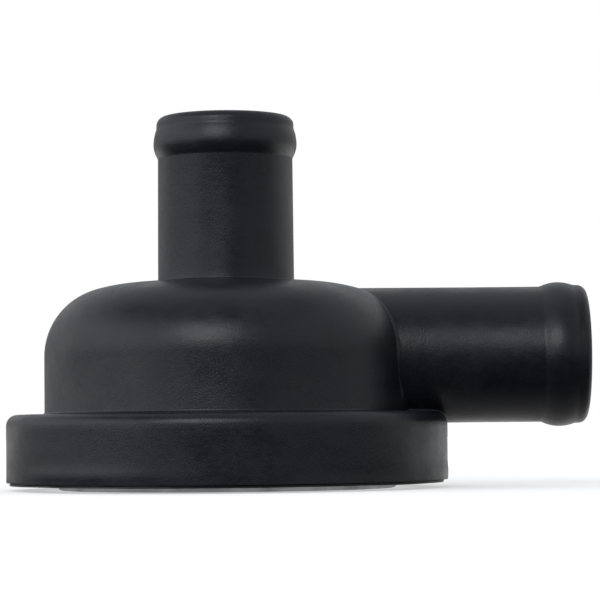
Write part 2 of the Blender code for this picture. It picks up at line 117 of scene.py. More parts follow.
class HousingSizes(bpy.types.PropertyGroup):
    """Sizes of the moulded housing."""

    skirt_radius: length("Skirt radius", "Outside of the skirt", -housing_low.y)
    skirt_top: length("Skirt top", "Height of the flange where it meets the dome", 13.95 * MM)
    skirt_round: length("Skirt round", "Radius of the flange's outer edge", 2.0 * MM)
    skirt_wall: length("Skirt wall", "Wall of the skirt", 2.5 * MM)
    skirt_ceiling: length("Skirt ceiling", "Height of the ceiling inside the skirt", 11.45 * MM)
    flange_rise: length("Flange rise", "Climb of the flange towards the dome", 0.15 * MM)
    lip_bottom: length("Lip bottom", "Lowest point of the folded lip", 0.86 * MM)
    lip_top: length("Lip top", "Face of the lip that carries the cover's rim", 1.2 * MM)
    lip_setback: length("Lip setback", "From the skirt's outside to the lip's outside", 0.7 * MM)
    lip_step: length("Lip step", "From the lip's underside up to the skirt's foot", 0.58 * MM)
    lip_opening: length("Lip opening", "Radius of the opening in the lip", 33.6 * MM)
    lip_waviness: length("Lip waviness", "How uneven the hot-formed lip is", 0.12 * MM)
    lip_shift: length("Lip shift", "How far the folded lip lies off centre", 0.15 * MM)
    skirt_swell: length("Skirt swell", "How far the skirt swells over the folded lip", 0.09 * MM)
    swell_turn: degrees("Swell turn", "Where the skirt swells most", -125.0)
    dome_radius: length("Dome radius", "Outside of the dome's straight wall", 33.5 * MM)
    dome_wall: length("Dome wall", "Wall of the dome", 2.5 * MM)
    dome_foot: length("Dome foot", "Fillet between dome and flange", 0.4 * MM)
    shoulder_radius: length("Shoulder radius", "Round of the dome's shoulder", 12.7 * MM)
    shoulder_height: length("Shoulder height", "Height at which the shoulder starts", 24.4 * MM)
    shoulder_slope: degrees("Shoulder slope", "Slope where the crown starts", 16.0)
    crown_radius: length("Crown radius", "Round of the dome's crown", 30.0 * MM)
    crown_slope: degrees("Crown slope", "Slope of the crown's cone", 4.2)
    port_radius: length("Port radius", "Outside of both hose ports at the root", 12.5 * MM)
    port_draft: length("Port draft", "Radius that a port loses towards its end", 0.1 * MM)
    port_bore: length("Port bore", "Radius of both bores", 10.2 * MM)
    port_root: length("Port root", "Fillet round the centre port's root", 0.25 * MM)
    port_edge: length("Port edge", "Round of a port's outer edge", 1.5 * MM)
    end_flare: length("End flare", "Radius that a port's end keeps over the pipe's", 0.25 * MM)
    port_mouth: length("Port mouth", "Round of a bore's mouth", 0.35 * MM)
    bead_height: length("Bead height", "Height of the hose bead", 0.8 * MM)
    bead_front: length("Bead front", "From the bead's crest to its root near the end", 3.1 * MM)
    bead_inset: length("Bead inset", "From a port's end to the bead's crest", 5.1 * MM)
    centre_bead_back: length("Centre bead back", "From the crest to the root on the centre port", 2.8 * MM)
    side_bead_back: length("Side bead back", "From the crest to the root on the side port", 3.5 * MM)
    centre_port_end: length("Centre port end", "Height of the centre port's end", housing_high.z)
    side_port_end: length("Side port end", "Reach of the side port", housing_high.x)
    side_port_height: length("Side port height", "Height of the side port's axis", 24.2 * MM)
    side_port_fillet: length("Side port fillet", "Fillet between side port and dome", 1.0 * MM)
    flange_fillet: length("Flange fillet", "Fillet between side port and flange", 0.22 * MM)
    seat_tube_radius: length("Seat tube radius", "Outside of the tube that ends in the seat", 12.0 * MM)
    seat_height: length("Seat height", "Height of the seat", 12.0 * MM)
    seat_round: length("Seat round", "Round of the seat's edges", 0.4 * MM)
    rib_reach: length("Rib reach", "Outer radius of the spring ribs", 15.9 * MM)
    rib_inside: length("Rib inside", "Radius inside the ribs' spring guide", 14.6 * MM)
    rib_guide: length("Rib guide", "Depth of the ribs' spring guide", 1.2 * MM)
    rib_thickness: length("Rib thickness", "Thickness of a spring rib", 1.5 * MM)
    rib_count: count("Spring ribs", "Ribs that the spring pushes on", 6)
    flash_height: length("Flash height", "Height of the parting line's flash", 0.05 * MM)
    flash_width: length("Flash width", "Width of the parting line's flash", 0.16 * MM)


class InsideSizes(bpy.types.PropertyGroup):
    """Sizes of the cover and of the pieces inside."""

    sheet: length("Cover sheet", "Thickness of the steel cover", 0.8 * MM)
    cover_step: length("Cover step", "From the pressed face up to the rim", 1.5 * MM)
    cover_flat: length("Cover flat", "Radius of the pressed face", 31.1 * MM)
    cover_bend: length("Cover bend", "Outer bend radius of the pressed face", 0.7 * MM)
    vent_radius: length("Vent radius", "Radius of the vent hole", 1.25 * MM)
    vent_offset: length("Vent offset", "From the axis to the vent hole", 14.0 * MM)
    ring_inside: length("Ring inside", "Radius inside the clamp ring", 34.9 * MM)
    membrane: length("Membrane", "Thickness of the rubber membrane", 0.8 * MM)
    bead_height: length("Edge bead", "Height of the diaphragm's edge bead", 2.8 * MM)
    flat_radius: length("Flat radius", "Radius of the membrane that the plate grips", 25.4 * MM)
    rivet_hole: length("Rivet hole", "Radius of the holes for the rivet", 2.3 * MM)
    disc_face: length("Disc face", "Height of the face that closes on the seat", 5.7 * MM)
    hub_radius: length("Hub radius", "Radius of the disc's hub", 5.0 * MM)
    hub_height: length("Hub height", "Height of the disc's hub", 0.6 * MM)
    locator_inside: length("Locator inside", "Radius inside the spring's locating ring", 14.6 * MM)
    locator_wall: length("Locator wall", "Wall of the spring's locating ring", 1.2 * MM)
    locator_height: length("Locator height", "Height of the locating ring", 1.4 * MM)
    disc_rib_count: count("Disc ribs", "Ribs on the valve disc", 8)
    disc_rib_height: length("Disc rib height", "Height of a rib on the disc", 0.8 * MM)
    disc_rib_thickness: length("Disc rib thickness", "Thickness of a rib on the disc", 1.1 * MM)
    rivet_radius: length("Rivet radius", "Radius of the rivet's shank", 2.0 * MM)
    rivet_head: length("Rivet head", "Thickness of both rivet heads", 0.6 * MM)
    rivet_flare: length("Rivet flare", "Radius of the rivet's flared end", 3.3 * MM)
    wire_radius: length("Wire radius", "Radius of the spring's wire", 0.5 * MM)
    coil_radius: length("Coil radius", "Middle radius of the coils", 13.7 * MM)
    coil_turns: number("Coil turns", "Turns of the spring", 5.25)


class ValveColours(bpy.types.PropertyGroup):
    """Colours of the finishes, as sRGB hex values."""

    nylon: colour("Nylon", "Black glass-filled nylon", "#16181E")
    nylon_pale: colour("Nylon, pale", "Where the nylon's skin is drier and paler", "#1F2129")
    zinc: colour("Zinc", "Bright zinc plate", "#C4C6C8")
    zinc_dull: colour("Zinc, dull", "Where the plate has dulled", "#A5A7A9")
    spring_steel: colour("Spring steel", "Drawn spring wire", "#8C8E92")
    rubber: colour("Rubber", "Black diaphragm rubber", "#1B1B1C")
    acetal: colour("Acetal", "Black acetal of the disc", "#202123")
    floor: colour("Floor", "Pale studio floor", "#F4F4F4")


class StageSizes(bpy.types.PropertyGroup):
    """Camera and lamps."""

    eye_height: length("Eye height", "Height of the camera above the floor", 10.6 * MM)
    eye_distance: length("Eye distance", "From the valve's axis plane to the camera", 480.0 * MM)
    aim_side: length("Aim side", "How far beside the axis the camera aims", 13.62 * MM)
    aim_height: length("Aim height", "Height that the camera aims at", 34.6 * MM)
    frame_width: length("Frame width", "Width of the picture at the axis", 110.8 * MM)
    roll: degrees("Roll", "Camera roll", 0.53)
    world_level: number("World level", "Light from all round", 0.02)
    backdrop_level: number("Backdrop level", "Light from behind", 0.62)
    wall_level: number("Wall level", "Light from the left wall", 1.6)
    right_level: number("Right level", "Light from the right wall", 0.50)
    front_level: number("Front level", "Light from the left in front", 0.2)
    key_level: number("Key lamp", "Power of the soft box in front, watts", 1.1)
    top_level: number("Top lamp", "Power of the lamp overhead, watts", 0.3)
    light_tint: colour("Light tint", "Colour of lamps and walls, a little cool", "#F7FBFF")


def linear(hex_value):
    """Linear colour, with alpha, of an sRGB hex value such as #1B1B1C."""
    shares = [int(hex_value[i : i + 2], 16) / 255 for i in (1, 3, 5)]
    return (*(s / 12.92 if s <= 0.04045 else ((s + 0.055) / 1.055) ** 2.4 for s in shares), 1.0)


def add(tree, kind, *inputs, **settings):
    """A node of this kind. Inputs are (socket, value or other node's socket), settings its own properties."""
    node = tree.nodes.new(kind)
    for key, value in settings.items():
        setattr(node, key, value)
    for socket, value in inputs:
        if isinstance(value, bpy.types.NodeSocket):
            tree.links.new(value, node.inputs[socket])
        else:
            node.inputs[socket].default_value = value
    return node


def maths(tree, operation, *values):
    """The result of a Math node on these values or sockets."""
    return add(tree, "ShaderNodeMath", *enumerate(values), operation=operation).outputs[0]


def new_material(name):
    """An empty material and its tree."""
    material = bpy.data.materials.new(name)
    material.use_nodes = True
    material.node_tree.nodes.clear()
    return material, material.node_tree


def add_surface(material, kind, *inputs):
    """Gives a material its output and the surface shader of this kind."""
    tree = material.node_tree
    shader = add(tree, kind, *inputs)
    tree.links.new(shader.outputs[0], add(tree, "ShaderNodeOutputMaterial").inputs["Surface"])
    return material


def grain(tree, size, detail=2.0, roughness=0.5, stretch=(1.0, 1.0, 1.0)):
    """Noise in Object coordinates whose lumps are about this large, in metres. Its mean is one half."""
    place = add(tree, "ShaderNodeTexCoord").outputs["Object"]
    scale = [s / size for s in stretch]
    spread = add(tree, "ShaderNodeMapping", ("Vector", place), ("Scale", scale)).outputs[0]
    inputs = (("Vector", spread), ("Scale", 1.0), ("Detail", detail), ("Roughness", roughness))
    return add(tree, "ShaderNodeTexNoise", *inputs).outputs["Fac"]


def between(tree, value, low, high, at_low=0.0, at_high=1.0):
    """Value mapped from low..high to at_low..at_high, and kept inside."""
    ends = (("From Min", low), ("From Max", high), ("To Min", at_low), ("To Max", at_high))
    return add(tree, "ShaderNodeMapRange", ("Value", value), *ends).outputs["Result"]


def blend_colours(tree, share, one, other):
    """One colour at share 0, the other at 1."""
    mix = add(tree, "ShaderNodeMix", ("Factor", share), data_type="RGBA")
    for socket, value in ((6, one), (7, other)):
        mix.inputs[socket].default_value = value
    return mix.outputs[2]


def bumps(tree, *layers):
    """Normals of bump layers laid on each other. A layer is (height socket, depth in metres)."""
    normal = None
    for height, depth in layers:
        inputs = [("Height", height), ("Distance", depth), ("Strength", 1.0)]
        if normal is not None:
            inputs.append(("Normal", normal))
        normal = add(tree, "ShaderNodeBump", *inputs).outputs["Normal"]
    return normal


def glass_filled_nylon(name, base, pale):
    """Glass-filled nylon from a spark-eroded mould: satin and finely grained, with drier, paler clouds."""
    material, tree = new_material(name)
    # The mould's grain is about 0.15 mm. It is drawn at 0.24 mm, so that it shows in a 600-pixel picture.
    spark = grain(tree, 0.24 * MM)
    fibres = grain(tree, 0.9 * MM, stretch=(0.8, 1.0, 1.3))
    clouds = grain(tree, 7.0 * MM, detail=3.0, roughness=0.55)
    dry = maths(tree, "ADD", maths(tree, "MULTIPLY", clouds, 0.65), maths(tree, "MULTIPLY", fibres, 0.35))
    return add_surface(
        material,
        "ShaderNodeBsdfPrincipled",
        ("Base Color", blend_colours(tree, between(tree, dry, 0.38, 0.66), linear(base), linear(pale))),
        ("Roughness", between(tree, dry, 0.34, 0.66, 0.28, 0.44)),
        ("IOR", 1.50),
        ("Normal", bumps(tree, (clouds, 0.08 * MM), (fibres, 0.007 * MM), (spark, 0.027 * MM))),
    )


def zinc_plated_steel(name, bright, dull):
    """Zinc-plated sheet steel: finely streaked along X by its rolling, with dull patches and small marks."""
    material, tree = new_material(name)
    # Rolling marks are 0.02 mm apart and drawn 0.25 mm apart, so that they show.
    streaks = grain(tree, 0.25 * MM, detail=3.0, stretch=(0.02, 1.0, 1.0))
    patches = grain(tree, 6.0 * MM, detail=4.0, roughness=0.6)
    specks = grain(tree, 0.8 * MM)
    return add_surface(
        material,
        "ShaderNodeBsdfPrincipled",
        ("Base Color", blend_colours(tree, between(tree, patches, 0.40, 0.62), linear(bright), linear(dull))),
        ("Metallic", 1.0),
        ("Roughness", between(tree, maths(tree, "ADD", patches, specks), 0.8, 1.25, 0.30, 0.46)),
        ("Normal", bumps(tree, (streaks, 0.004 * MM), (specks, 0.003 * MM))),
    )


def paler(colour_value, factor):
    """A linear colour made brighter by this factor, and no brighter than white."""
    return [min(1.0, factor * c) for c in colour_value]


def drawn_spring_steel(name, base):
    """Drawn spring wire: grey, smooth and a little oily, with faint dull bands."""
    material, tree = new_material(name)
    bands = grain(tree, 2.5 * MM, detail=3.0)
    die_marks = grain(tree, 0.2 * MM)
    grey = linear(base)
    return add_surface(
        material,
        "ShaderNodeBsdfPrincipled",
        ("Base Color", blend_colours(tree, between(tree, bands, 0.35, 0.65), grey, paler(grey, 1.25))),
        ("Metallic", 1.0),
        ("Roughness", between(tree, bands, 0.3, 0.7, 0.24, 0.38)),
        ("Normal", bumps(tree, (die_marks, 0.003 * MM))),
    )


def diaphragm_rubber(name, base):
    """Moulded black rubber: matt, with the faint lumps of a cloth-backed sheet and a little bloom."""
    material, tree = new_material(name)
    bloom = grain(tree, 4.0 * MM, detail=4.0, roughness=0.6)
    skin = grain(tree, 0.5 * MM)
    black = linear(base)
    return add_surface(
        material,
        "ShaderNodeBsdfPrincipled",
        ("Base Color", blend_colours(tree, between(tree, bloom, 0.42, 0.70), black, paler(black, 1.7))),
        ("Roughness", between(tree, bloom, 0.3, 0.7, 0.62, 0.78)),
        ("IOR", 1.52),
        ("Normal", bumps(tree, (skin, 0.015 * MM))),
    )


def moulded_acetal(name, base):
    """Black acetal from a polished mould: smoother and a little glossier than the housing."""
    material, tree = new_material(name)
    flow = grain(tree, 5.0 * MM)
    skin = grain(tree, 0.4 * MM)
    black = linear(base)
    return add_surface(
        material,
        "ShaderNodeBsdfPrincipled",
        ("Base Color", blend_colours(tree, between(tree, flow, 0.40, 0.65), black, paler(black, 1.4))),
        ("Roughness", between(tree, flow, 0.35, 0.65, 0.34, 0.44)),
        ("IOR", 1.48),
        ("Normal", bumps(tree, (skin, 0.006 * MM))),
    )


def finish(name):
    """The material of this name, made on first use from the scene's colours."""
    made = bpy.data.materials.get(name)
    if made is not None:
        return made
    colours = bpy.context.scene.valve_colours
    makers = {
        "moulded glass-filled nylon": lambda: glass_filled_nylon(name, colours.nylon, colours.nylon_pale),
        "zinc-plated steel": lambda: zinc_plated_steel(name, colours.zinc, colours.zinc_dull),
        "drawn spring steel": lambda: drawn_spring_steel(name, colours.spring_steel),
        "diaphragm rubber": lambda: diaphragm_rubber(name, colours.rubber),
        "moulded acetal": lambda: moulded_acetal(name, colours.acetal),
    }
    return makers[name]()


def new_tree(name, *sockets):
    """A Geometry Nodes tree with these inputs, each (name, kind), and one geometry output."""
    tree = bpy.data.node_groups.new(name, "GeometryNodeTree")
    for label, kind in sockets:
        tree.interface.new_socket(label, in_out="INPUT", socket_type="NodeSocket" + kind)
    tree.interface.new_socket("Form", in_out="OUTPUT", socket_type="NodeSocketGeometry")
    return tree, tree.nodes.new("NodeGroupInput"), tree.nodes.new("NodeGroupOutput")


def close_tree(tree, made, given, output):
    """Ends a tree in Realize Instances and Set Material, and returns it."""
    real = add(tree, "GeometryNodeRealizeInstances", ("Geometry", made)).outputs[0]
    inputs = (("Geometry", real), ("Material", given.outputs["Material"]))
    tree.links.new(add(tree, "GeometryNodeSetMaterial", *inputs).outputs[0], output.inputs["Form"])
    return tree


def turned_tree(name):
    """Turns an outline, given as points (r, 0, z) in order, about Z into a welded skin."""
    tree, given, output = new_tree(name, ("Outline", "Geometry"), ("Facets", "Int"), ("Material", "Material"))
    value = given.outputs
    size = add(tree, "GeometryNodeAttributeDomainSize", ("Geometry", value["Outline"]))
    points = size.outputs["Point Count"]
    columns = maths(tree, "ADD", value["Facets"], 1.0)
    spans = (("Size X", 1.0), ("Size Y", 1.0), ("Vertices X", columns), ("Vertices Y", points))
    sheet = add(tree, "GeometryNodeMeshGrid", *spans).outputs["Mesh"]
    place = add(tree, "GeometryNodeInputPosition").outputs[0]
    axes = add(tree, "ShaderNodeSeparateXYZ", ("Vector", place)).outputs
    turn = maths(tree, "MULTIPLY", maths(tree, "ADD", axes["X"], 0.5), math.tau)
    last = maths(tree, "SUBTRACT", points, 1.0)
    row = maths(tree, "ROUND", maths(tree, "MULTIPLY", maths(tree, "ADD", axes["Y"], 0.5), last))
    inputs = (("Geometry", value["Outline"]), ("Value", place), ("Index", row))
    settings = {"data_type": "FLOAT_VECTOR", "domain": "POINT"}
    spot = add(tree, "GeometryNodeSampleIndex", *inputs, **settings).outputs[0]
    inputs = (("Vector", spot), ("Angle", turn))
    turned_spot = add(tree, "ShaderNodeVectorRotate", *inputs, rotation_type="Z_AXIS").outputs[0]
    moved = add(tree, "GeometryNodeSetPosition", ("Geometry", sheet), ("Position", turned_spot)).outputs[0]
    welded = add(tree, "GeometryNodeMergeByDistance", ("Geometry", moved), ("Distance", WELD)).outputs[0]
    return close_tree(tree, welded, given, output)


def ring_tree(name):
    """Repeats a form round Z, evenly, from a start angle."""
    sockets = (("Rib", "Geometry"), ("Count", "Int"), ("Start", "Float"), ("Material", "Material"))
    tree, given, output = new_tree(name, *sockets)
    value = given.outputs
    spots = add(tree, "GeometryNodePoints", ("Count", value["Count"])).outputs[0]
    step = maths(tree, "DIVIDE", math.tau, value["Count"])
    turn = maths(tree, "MULTIPLY", add(tree, "GeometryNodeInputIndex").outputs[0], step)
    spin = add(tree, "ShaderNodeCombineXYZ", ("Z", maths(tree, "ADD", turn, value["Start"]))).outputs[0]
    inputs = (("Points", spots), ("Instance", value["Rib"]), ("Rotation", spin))
    copies = add(tree, "GeometryNodeInstanceOnPoints", *inputs).outputs[0]
    return close_tree(tree, copies, given, output)


def coil_tree(name):
    """A compression spring: a closed turn at each end, open turns between, and both ends ground flat."""
    lengths = [(label, "Float") for label in ("Coil radius", "Wire radius", "Turns", "Bottom", "Top")]
    counts = [(label, "Int") for label in ("Steps", "Sides")]
    tree, given, output = new_tree(name, ("Outline", "Geometry"), *lengths, *counts, ("Material", "Material"))
    value = given.outputs
    line = add(tree, "GeometryNodeCurvePrimitiveLine").outputs[0]
    spun = add(tree, "GeometryNodeResampleCurve", ("Curve", line), ("Count", value["Steps"])).outputs[0]
    share = add(tree, "GeometryNodeSplineParameter").outputs["Factor"]
    turn = maths(tree, "MULTIPLY", share, value["Turns"])
    open_turns = maths(tree, "SUBTRACT", value["Turns"], 2.0)
    # A closed turn climbs 1.12 wires, and the grinding leaves 0.12 of a wire beyond the wire's middle.
    closed_rise = maths(tree, "MULTIPLY", value["Wire radius"], 2.24)
    ground = maths(tree, "MULTIPLY", value["Wire radius"], 0.24)
    low = maths(tree, "ADD", value["Bottom"], ground)
    height = maths(tree, "SUBTRACT", maths(tree, "SUBTRACT", value["Top"], ground), low)
    open_height = maths(tree, "SUBTRACT", height, maths(tree, "MULTIPLY", closed_rise, 2.0))
    pitch = maths(tree, "DIVIDE", open_height, open_turns)
    first = maths(tree, "MINIMUM", turn, 1.0)
    past_first = maths(tree, "MAXIMUM", maths(tree, "SUBTRACT", turn, 1.0), 0.0)
    middle = maths(tree, "MINIMUM", past_first, open_turns)
    past_middle = maths(tree, "MAXIMUM", maths(tree, "SUBTRACT", past_first, open_turns), 0.0)
    closed = maths(tree, "MULTIPLY", maths(tree, "ADD", first, past_middle), closed_rise)
    rise = maths(tree, "ADD", maths(tree, "ADD", low, closed), maths(tree, "MULTIPLY", middle, pitch))
    radians = maths(tree, "MULTIPLY", turn, math.tau)
    ways = [maths(tree, function, radians) for function in ("COSINE", "SINE")]
    x, y = (maths(tree, "MULTIPLY", value["Coil radius"], way) for way in ways)
    spot = add(tree, "ShaderNodeCombineXYZ", ("X", x), ("Y", y), ("Z", rise)).outputs[0]
    coil = add(tree, "GeometryNodeSetPosition", ("Geometry", spun), ("Position", spot)).outputs[0]
    inputs = (("Resolution", value["Sides"]), ("Radius", value["Wire radius"]))
    section = add(tree, "GeometryNodeCurvePrimitiveCircle", *inputs, mode="RADIUS").outputs[0]
    inputs = (("Curve", coil), ("Profile Curve", section), ("Fill Caps", True))
    wire = add(tree, "GeometryNodeCurveToMesh", *inputs).outputs[0]
    place = add(tree, "GeometryNodeInputPosition").outputs[0]
    axes = add(tree, "ShaderNodeSeparateXYZ", ("Vector", place)).outputs
    kept = maths(tree, "MINIMUM", maths(tree, "MAXIMUM", axes["Z"], value["Bottom"]), value["Top"])
    flat = add(tree, "ShaderNodeCombineXYZ", ("X", axes["X"]), ("Y", axes["Y"]), ("Z", kept)).outputs[0]
    ground_flat = add(tree, "GeometryNodeSetPosition", ("Geometry", wire), ("Position", flat)).outputs[0]
    return close_tree(tree, ground_flat, given, output)


TREES = {"Turned form": turned_tree, "Radial pattern": ring_tree, "Coil spring": coil_tree}


def run_tree(name, tree_name, source, **inputs):
    """A plain mesh object of what a tree makes of a mesh. Inputs go by socket name, with _ for a space."""
    tree = bpy.data.node_groups.get(tree_name) or TREES[tree_name](tree_name)
    holder = bpy.data.objects.new(name, source)
    bpy.context.scene.collection.objects.link(holder)
    step = holder.modifiers.new(tree_name, "NODES")
    step.node_group = tree
    keys = {item.name: item.identifier for item in tree.interface.items_tree if item.in_out == "INPUT"}
    for label, value in inputs.items():
        step[keys[label.replace("_", " ")]] = value
    return settle(holder)


def settle(holder):
    """Applies an object's modifiers, and welds and faces its mesh outwards."""
    bpy.context.view_layer.update()
    evaluated = holder.evaluated_get(bpy.context.evaluated_depsgraph_get())
    mesh = bpy.data.meshes.new_from_object(evaluated)
    holder.modifiers.clear()
    holder.data = mesh
    shape = bmesh.new()
    shape.from_mesh(mesh)
    bmesh.ops.remove_doubles(shape, verts=shape.verts, dist=WELD)
    bmesh.ops.dissolve_degenerate(shape, edges=shape.edges, dist=WELD)
    bmesh.ops.recalc_face_normals(shape, faces=shape.faces)
    shape.to_mesh(mesh)
    shape.free()
    return holder


def points_mesh(name, points):
    """A mesh of loose points, for a tree to read."""
    mesh = bpy.data.meshes.new(name)
    mesh.from_pydata(points, [], [])
    return mesh


def turned(name, outline, facets, material, place=None):
    """A turned form from (r, z) points. place moves it from the Z axis to where it stands."""
    source = points_mesh(name + "_outline", [(r, 0.0, z) for r, z in outline])
    made = run_tree(name, "Turned form", source, Facets=facets, Material=finish(material))
    if place is not None:
        made.data.transform(place)
    return made


def rounded(corners, steps=6):
    """An outline from corners (r, z, round): each round is an arc that touches both sides of its corner."""
    outline = []
    for i, (r, z, size) in enumerate(corners):
        here = Vector((r, z))
        if not size or not 0 < i < len(corners) - 1:
            outline.append((r, z))
            continue
        before = (Vector(corners[i - 1][:2]) - here).normalized()
        after = (Vector(corners[i + 1][:2]) - here).normalized()
        half = before.angle(after) / 2
        centre = here + (before + after).normalized() * size / math.sin(half)
        reach = size / math.tan(half)
        start, end = here + before * reach - centre, here + after * reach - centre
        for k in range(steps + 1):
            outline.append(tuple(centre + size * start.slerp(end, k / steps)))
    return outline


def grown(outline, by):
    """The outline moved outwards by this much, to the right of its direction."""
    moved = []
    for i, point in enumerate(outline):
        before, after = Vector(outline[max(i - 1, 0)]), Vector(outline[min(i + 1, len(outline) - 1)])
        along = (after - before).normalized()
        moved.append((point[0] + along.y * by, point[1] - along.x * by))
    return moved


def arc(centre, radius, start, end, steps):
    """Points (r, z) along an arc, both ends among them, from +r towards +z."""
    angles = [start + (end - start) * i / steps for i in range(steps + 1)]
    return [(centre.x + radius * math.cos(a), centre.y + radius * math.sin(a)) for a in angles]


def dome_centres(s):
    """Centres of the shoulder's and the crown's arcs, and the angles at which the two end."""
    shoulder_end, crown_end = RIGHT_ANGLE - s.shoulder_slope, RIGHT_ANGLE - s.crown_slope
    shoulder = Vector((s.dome_radius - s.shoulder_radius, s.shoulder_height))
    way = Vector((math.cos(shoulder_end), math.sin(shoulder_end)))
    return shoulder, shoulder + (s.shoulder_radius - s.crown_radius) * way, shoulder_end, crown_end


def dome_arcs(s, outset, shoulder_steps, crown_steps):
    """The dome's profile this far outside its face, from the wall's top to the end of the crown's arc."""
    shoulder, crown, shoulder_end, crown_end = dome_centres(s)
    points = arc(shoulder, s.shoulder_radius + outset, 0.0, shoulder_end, shoulder_steps)
    return points + arc(crown, s.crown_radius + outset, shoulder_end, crown_end, crown_steps)[1:]


def crown_height(s, radius, outset):
    """Height of the crown's cone at this radius, this far outside its face."""
    end_r, end_z = dome_arcs(s, outset, 1, 1)[-1]
    return end_z + (end_r - radius) * math.tan(s.crown_slope)


def dome_at(s, height, outset):
    """(radius, normal r, normal z) of the dome's face moved out by outset, at this height."""
    shoulder, crown, shoulder_end, _ = dome_centres(s)
    small, large = s.shoulder_radius + outset, s.crown_radius + outset
    if height <= shoulder.y:
        return s.dome_radius + outset, 1.0, 0.0
    if height <= shoulder.y + small * math.sin(shoulder_end):
        angle = math.asin((height - shoulder.y) / small)
        return shoulder.x + small * math.cos(angle), math.cos(angle), math.sin(angle)
    angle = math.asin(min(1.0, (height - crown.y) / large))
    return crown.x + large * math.cos(angle), math.cos(angle), math.sin(angle)


def bead_rise(s, share, foot=0.0):
    """Height of the hose bead at this share of the way from its crest to a root that lies foot high."""
    arc_share = 0.88
    if share < arc_share:
        rise = 1.0 - share * share / arc_share
    else:
        rise = (1.0 - share) ** 2 / (1.0 - arc_share)
    return foot + (s.bead_height - foot) * rise


def port_outline(s, end, bead_back):
    """Outside of a hose port from the bead's root to the axis at its end."""
    tip, crest, steps = s.port_radius - s.port_draft, end - s.bead_inset, 16
    shares = [i / steps for i in range(steps + 1)]
    outline = [(tip + bead_rise(s, t), crest - t * bead_back) for t in shares[::-1]]
    outline += [(tip + bead_rise(s, t, s.end_flare), crest + t * s.bead_front) for t in shares[1:]]
    corner = Vector((tip + s.end_flare - s.port_edge, end - s.port_edge))
    return outline + arc(corner, s.port_edge, 0.0, RIGHT_ANGLE, 8) + [(0.0, end)]


def housing_outline(s):
    """Outside of skirt, dome and centre port, from the axis under the lip to the axis at the port's end."""
    lip_radius, flange = s.skirt_radius - s.lip_setback, s.skirt_top - s.flange_rise
    foot = s.lip_bottom + s.lip_step
    # The crease is the dark line where the lip folds in under the skirt's foot.
    crease_radius = lip_radius - 0.5 * MM
    crease_mouth, crease_low, crease_high = (foot + up * MM for up in (-0.14, -0.10, 0.02))
    wall_heights = [foot + (0.3 + 0.7 * k) * MM for k in range(14)]  # rows of points that rough_lip moves
    outline = rounded(
        [
            (0.0, s.lip_bottom, 0),
            (lip_radius, s.lip_bottom, 0.13 * MM),
            (lip_radius, crease_mouth, 0.04 * MM),
            (crease_radius, crease_low, 0),
            (crease_radius, crease_high, 0),
            (s.skirt_radius, crease_high, 0.08 * MM),
            *((s.skirt_radius, height, 0) for height in wall_heights),
            (s.skirt_radius, flange, s.skirt_round),
            (s.dome_radius, s.skirt_top, s.dome_foot),
            (s.dome_radius, s.shoulder_height, 0),
        ]
    )
    outline += dome_arcs(s, 0.0, 24, 8)[1:]
    root = crown_height(s, s.port_radius, 0.0)
    pipe = [(s.port_radius, root, s.port_root), (s.port_radius, root + 2 * MM, 0)]
    outline += rounded([(*outline[-1], 0), *pipe])[1:]
    return outline + port_outline(s, s.centre_port_end, s.centre_bead_back)


def mouth_outline(s, end):
    """A bore's rounded mouth at a port's end, on past the end, and back to the axis."""
    mouth, past_end = s.port_bore + s.port_mouth, end + 2 * MM
    outline = arc(Vector((mouth, end - s.port_mouth)), s.port_mouth, math.pi, RIGHT_ANGLE, 5)
    return outline + [(mouth, past_end), (0.0, past_end)]


def hollow_outline(s):
    """Hollow of the housing: lip opening, skirt, dome round the seat tube, then up the centre bore."""
    below = s.lip_bottom - 2 * MM
    dome_inside = s.dome_radius - s.dome_wall
    skirt_inside = s.skirt_radius - s.skirt_wall
    roof = crown_height(s, s.seat_tube_radius, -s.dome_wall)
    outline = rounded(
        [
            (0.0, below, 0),
            (s.lip_opening, below, 0),
            (s.lip_opening, s.lip_top, 0.1 * MM),
            (skirt_inside, s.lip_top, 0),
            (skirt_inside, s.skirt_ceiling, 0.3 * MM),
            (dome_inside, s.skirt_ceiling, 0.4 * MM),
            (dome_inside, s.shoulder_height, 0),
        ]
    )
    outline += dome_arcs(s, -s.dome_wall, 16, 4)[1:]
    outline += rounded(
        [
            (*outline[-1], 0),
            (s.seat_tube_radius, roof, 0.6 * MM),
            (s.seat_tube_radius, s.seat_height, s.seat_round),
            (s.port_bore, s.seat_height, s.seat_round),
            (s.port_bore, s.centre_port_end - s.port_mouth, 0),
        ]
    )[1:]
    return outline + mouth_outline(s, s.centre_port_end)[1:]


def loose_solid(name, shape, material):
    """A mesh object of a closed bmesh, faced outwards."""
    bmesh.ops.recalc_face_normals(shape, faces=shape.faces)
    mesh = bpy.data.meshes.new(name)
    shape.to_mesh(mesh)
    shape.free()
    mesh.materials.append(finish(material))
    made = bpy.data.objects.new(name, mesh)
    bpy.context.scene.collection.objects.link(made)
    return made


def flat_solid(name, outline, thickness, material, turn=None):
    """A flat plate in the XZ plane from its (x, z) outline, with its middle on that plane."""
    shape = bmesh.new()
    face = shape.faces.new([shape.verts.new((x, -thickness / 2, z)) for x, z in outline])
    grown_part = bmesh.ops.extrude_face_region(shape, geom=[face])
    far = [v for v in grown_part["geom"] if isinstance(v, bmesh.types.BMVert)]
    bmesh.ops.translate(shape, verts=far, vec=(0, thickness, 0))
    made = loose_solid(name, shape, material)
    if turn is not None:
        made.data.transform(turn)
    return made


def ribs_round(name, outline, thickness, number_round, start, material):
    """Flat ribs that stand on radii, spaced evenly round Z from a start angle."""
    rib = flat_solid(name + "_one", outline, thickness, material)
    mesh = rib.data
    bpy.data.objects.remove(rib)
    inputs = {"Count": number_round, "Start": start, "Material": finish(material)}
    return run_tree(name, "Radial pattern", mesh, **inputs)


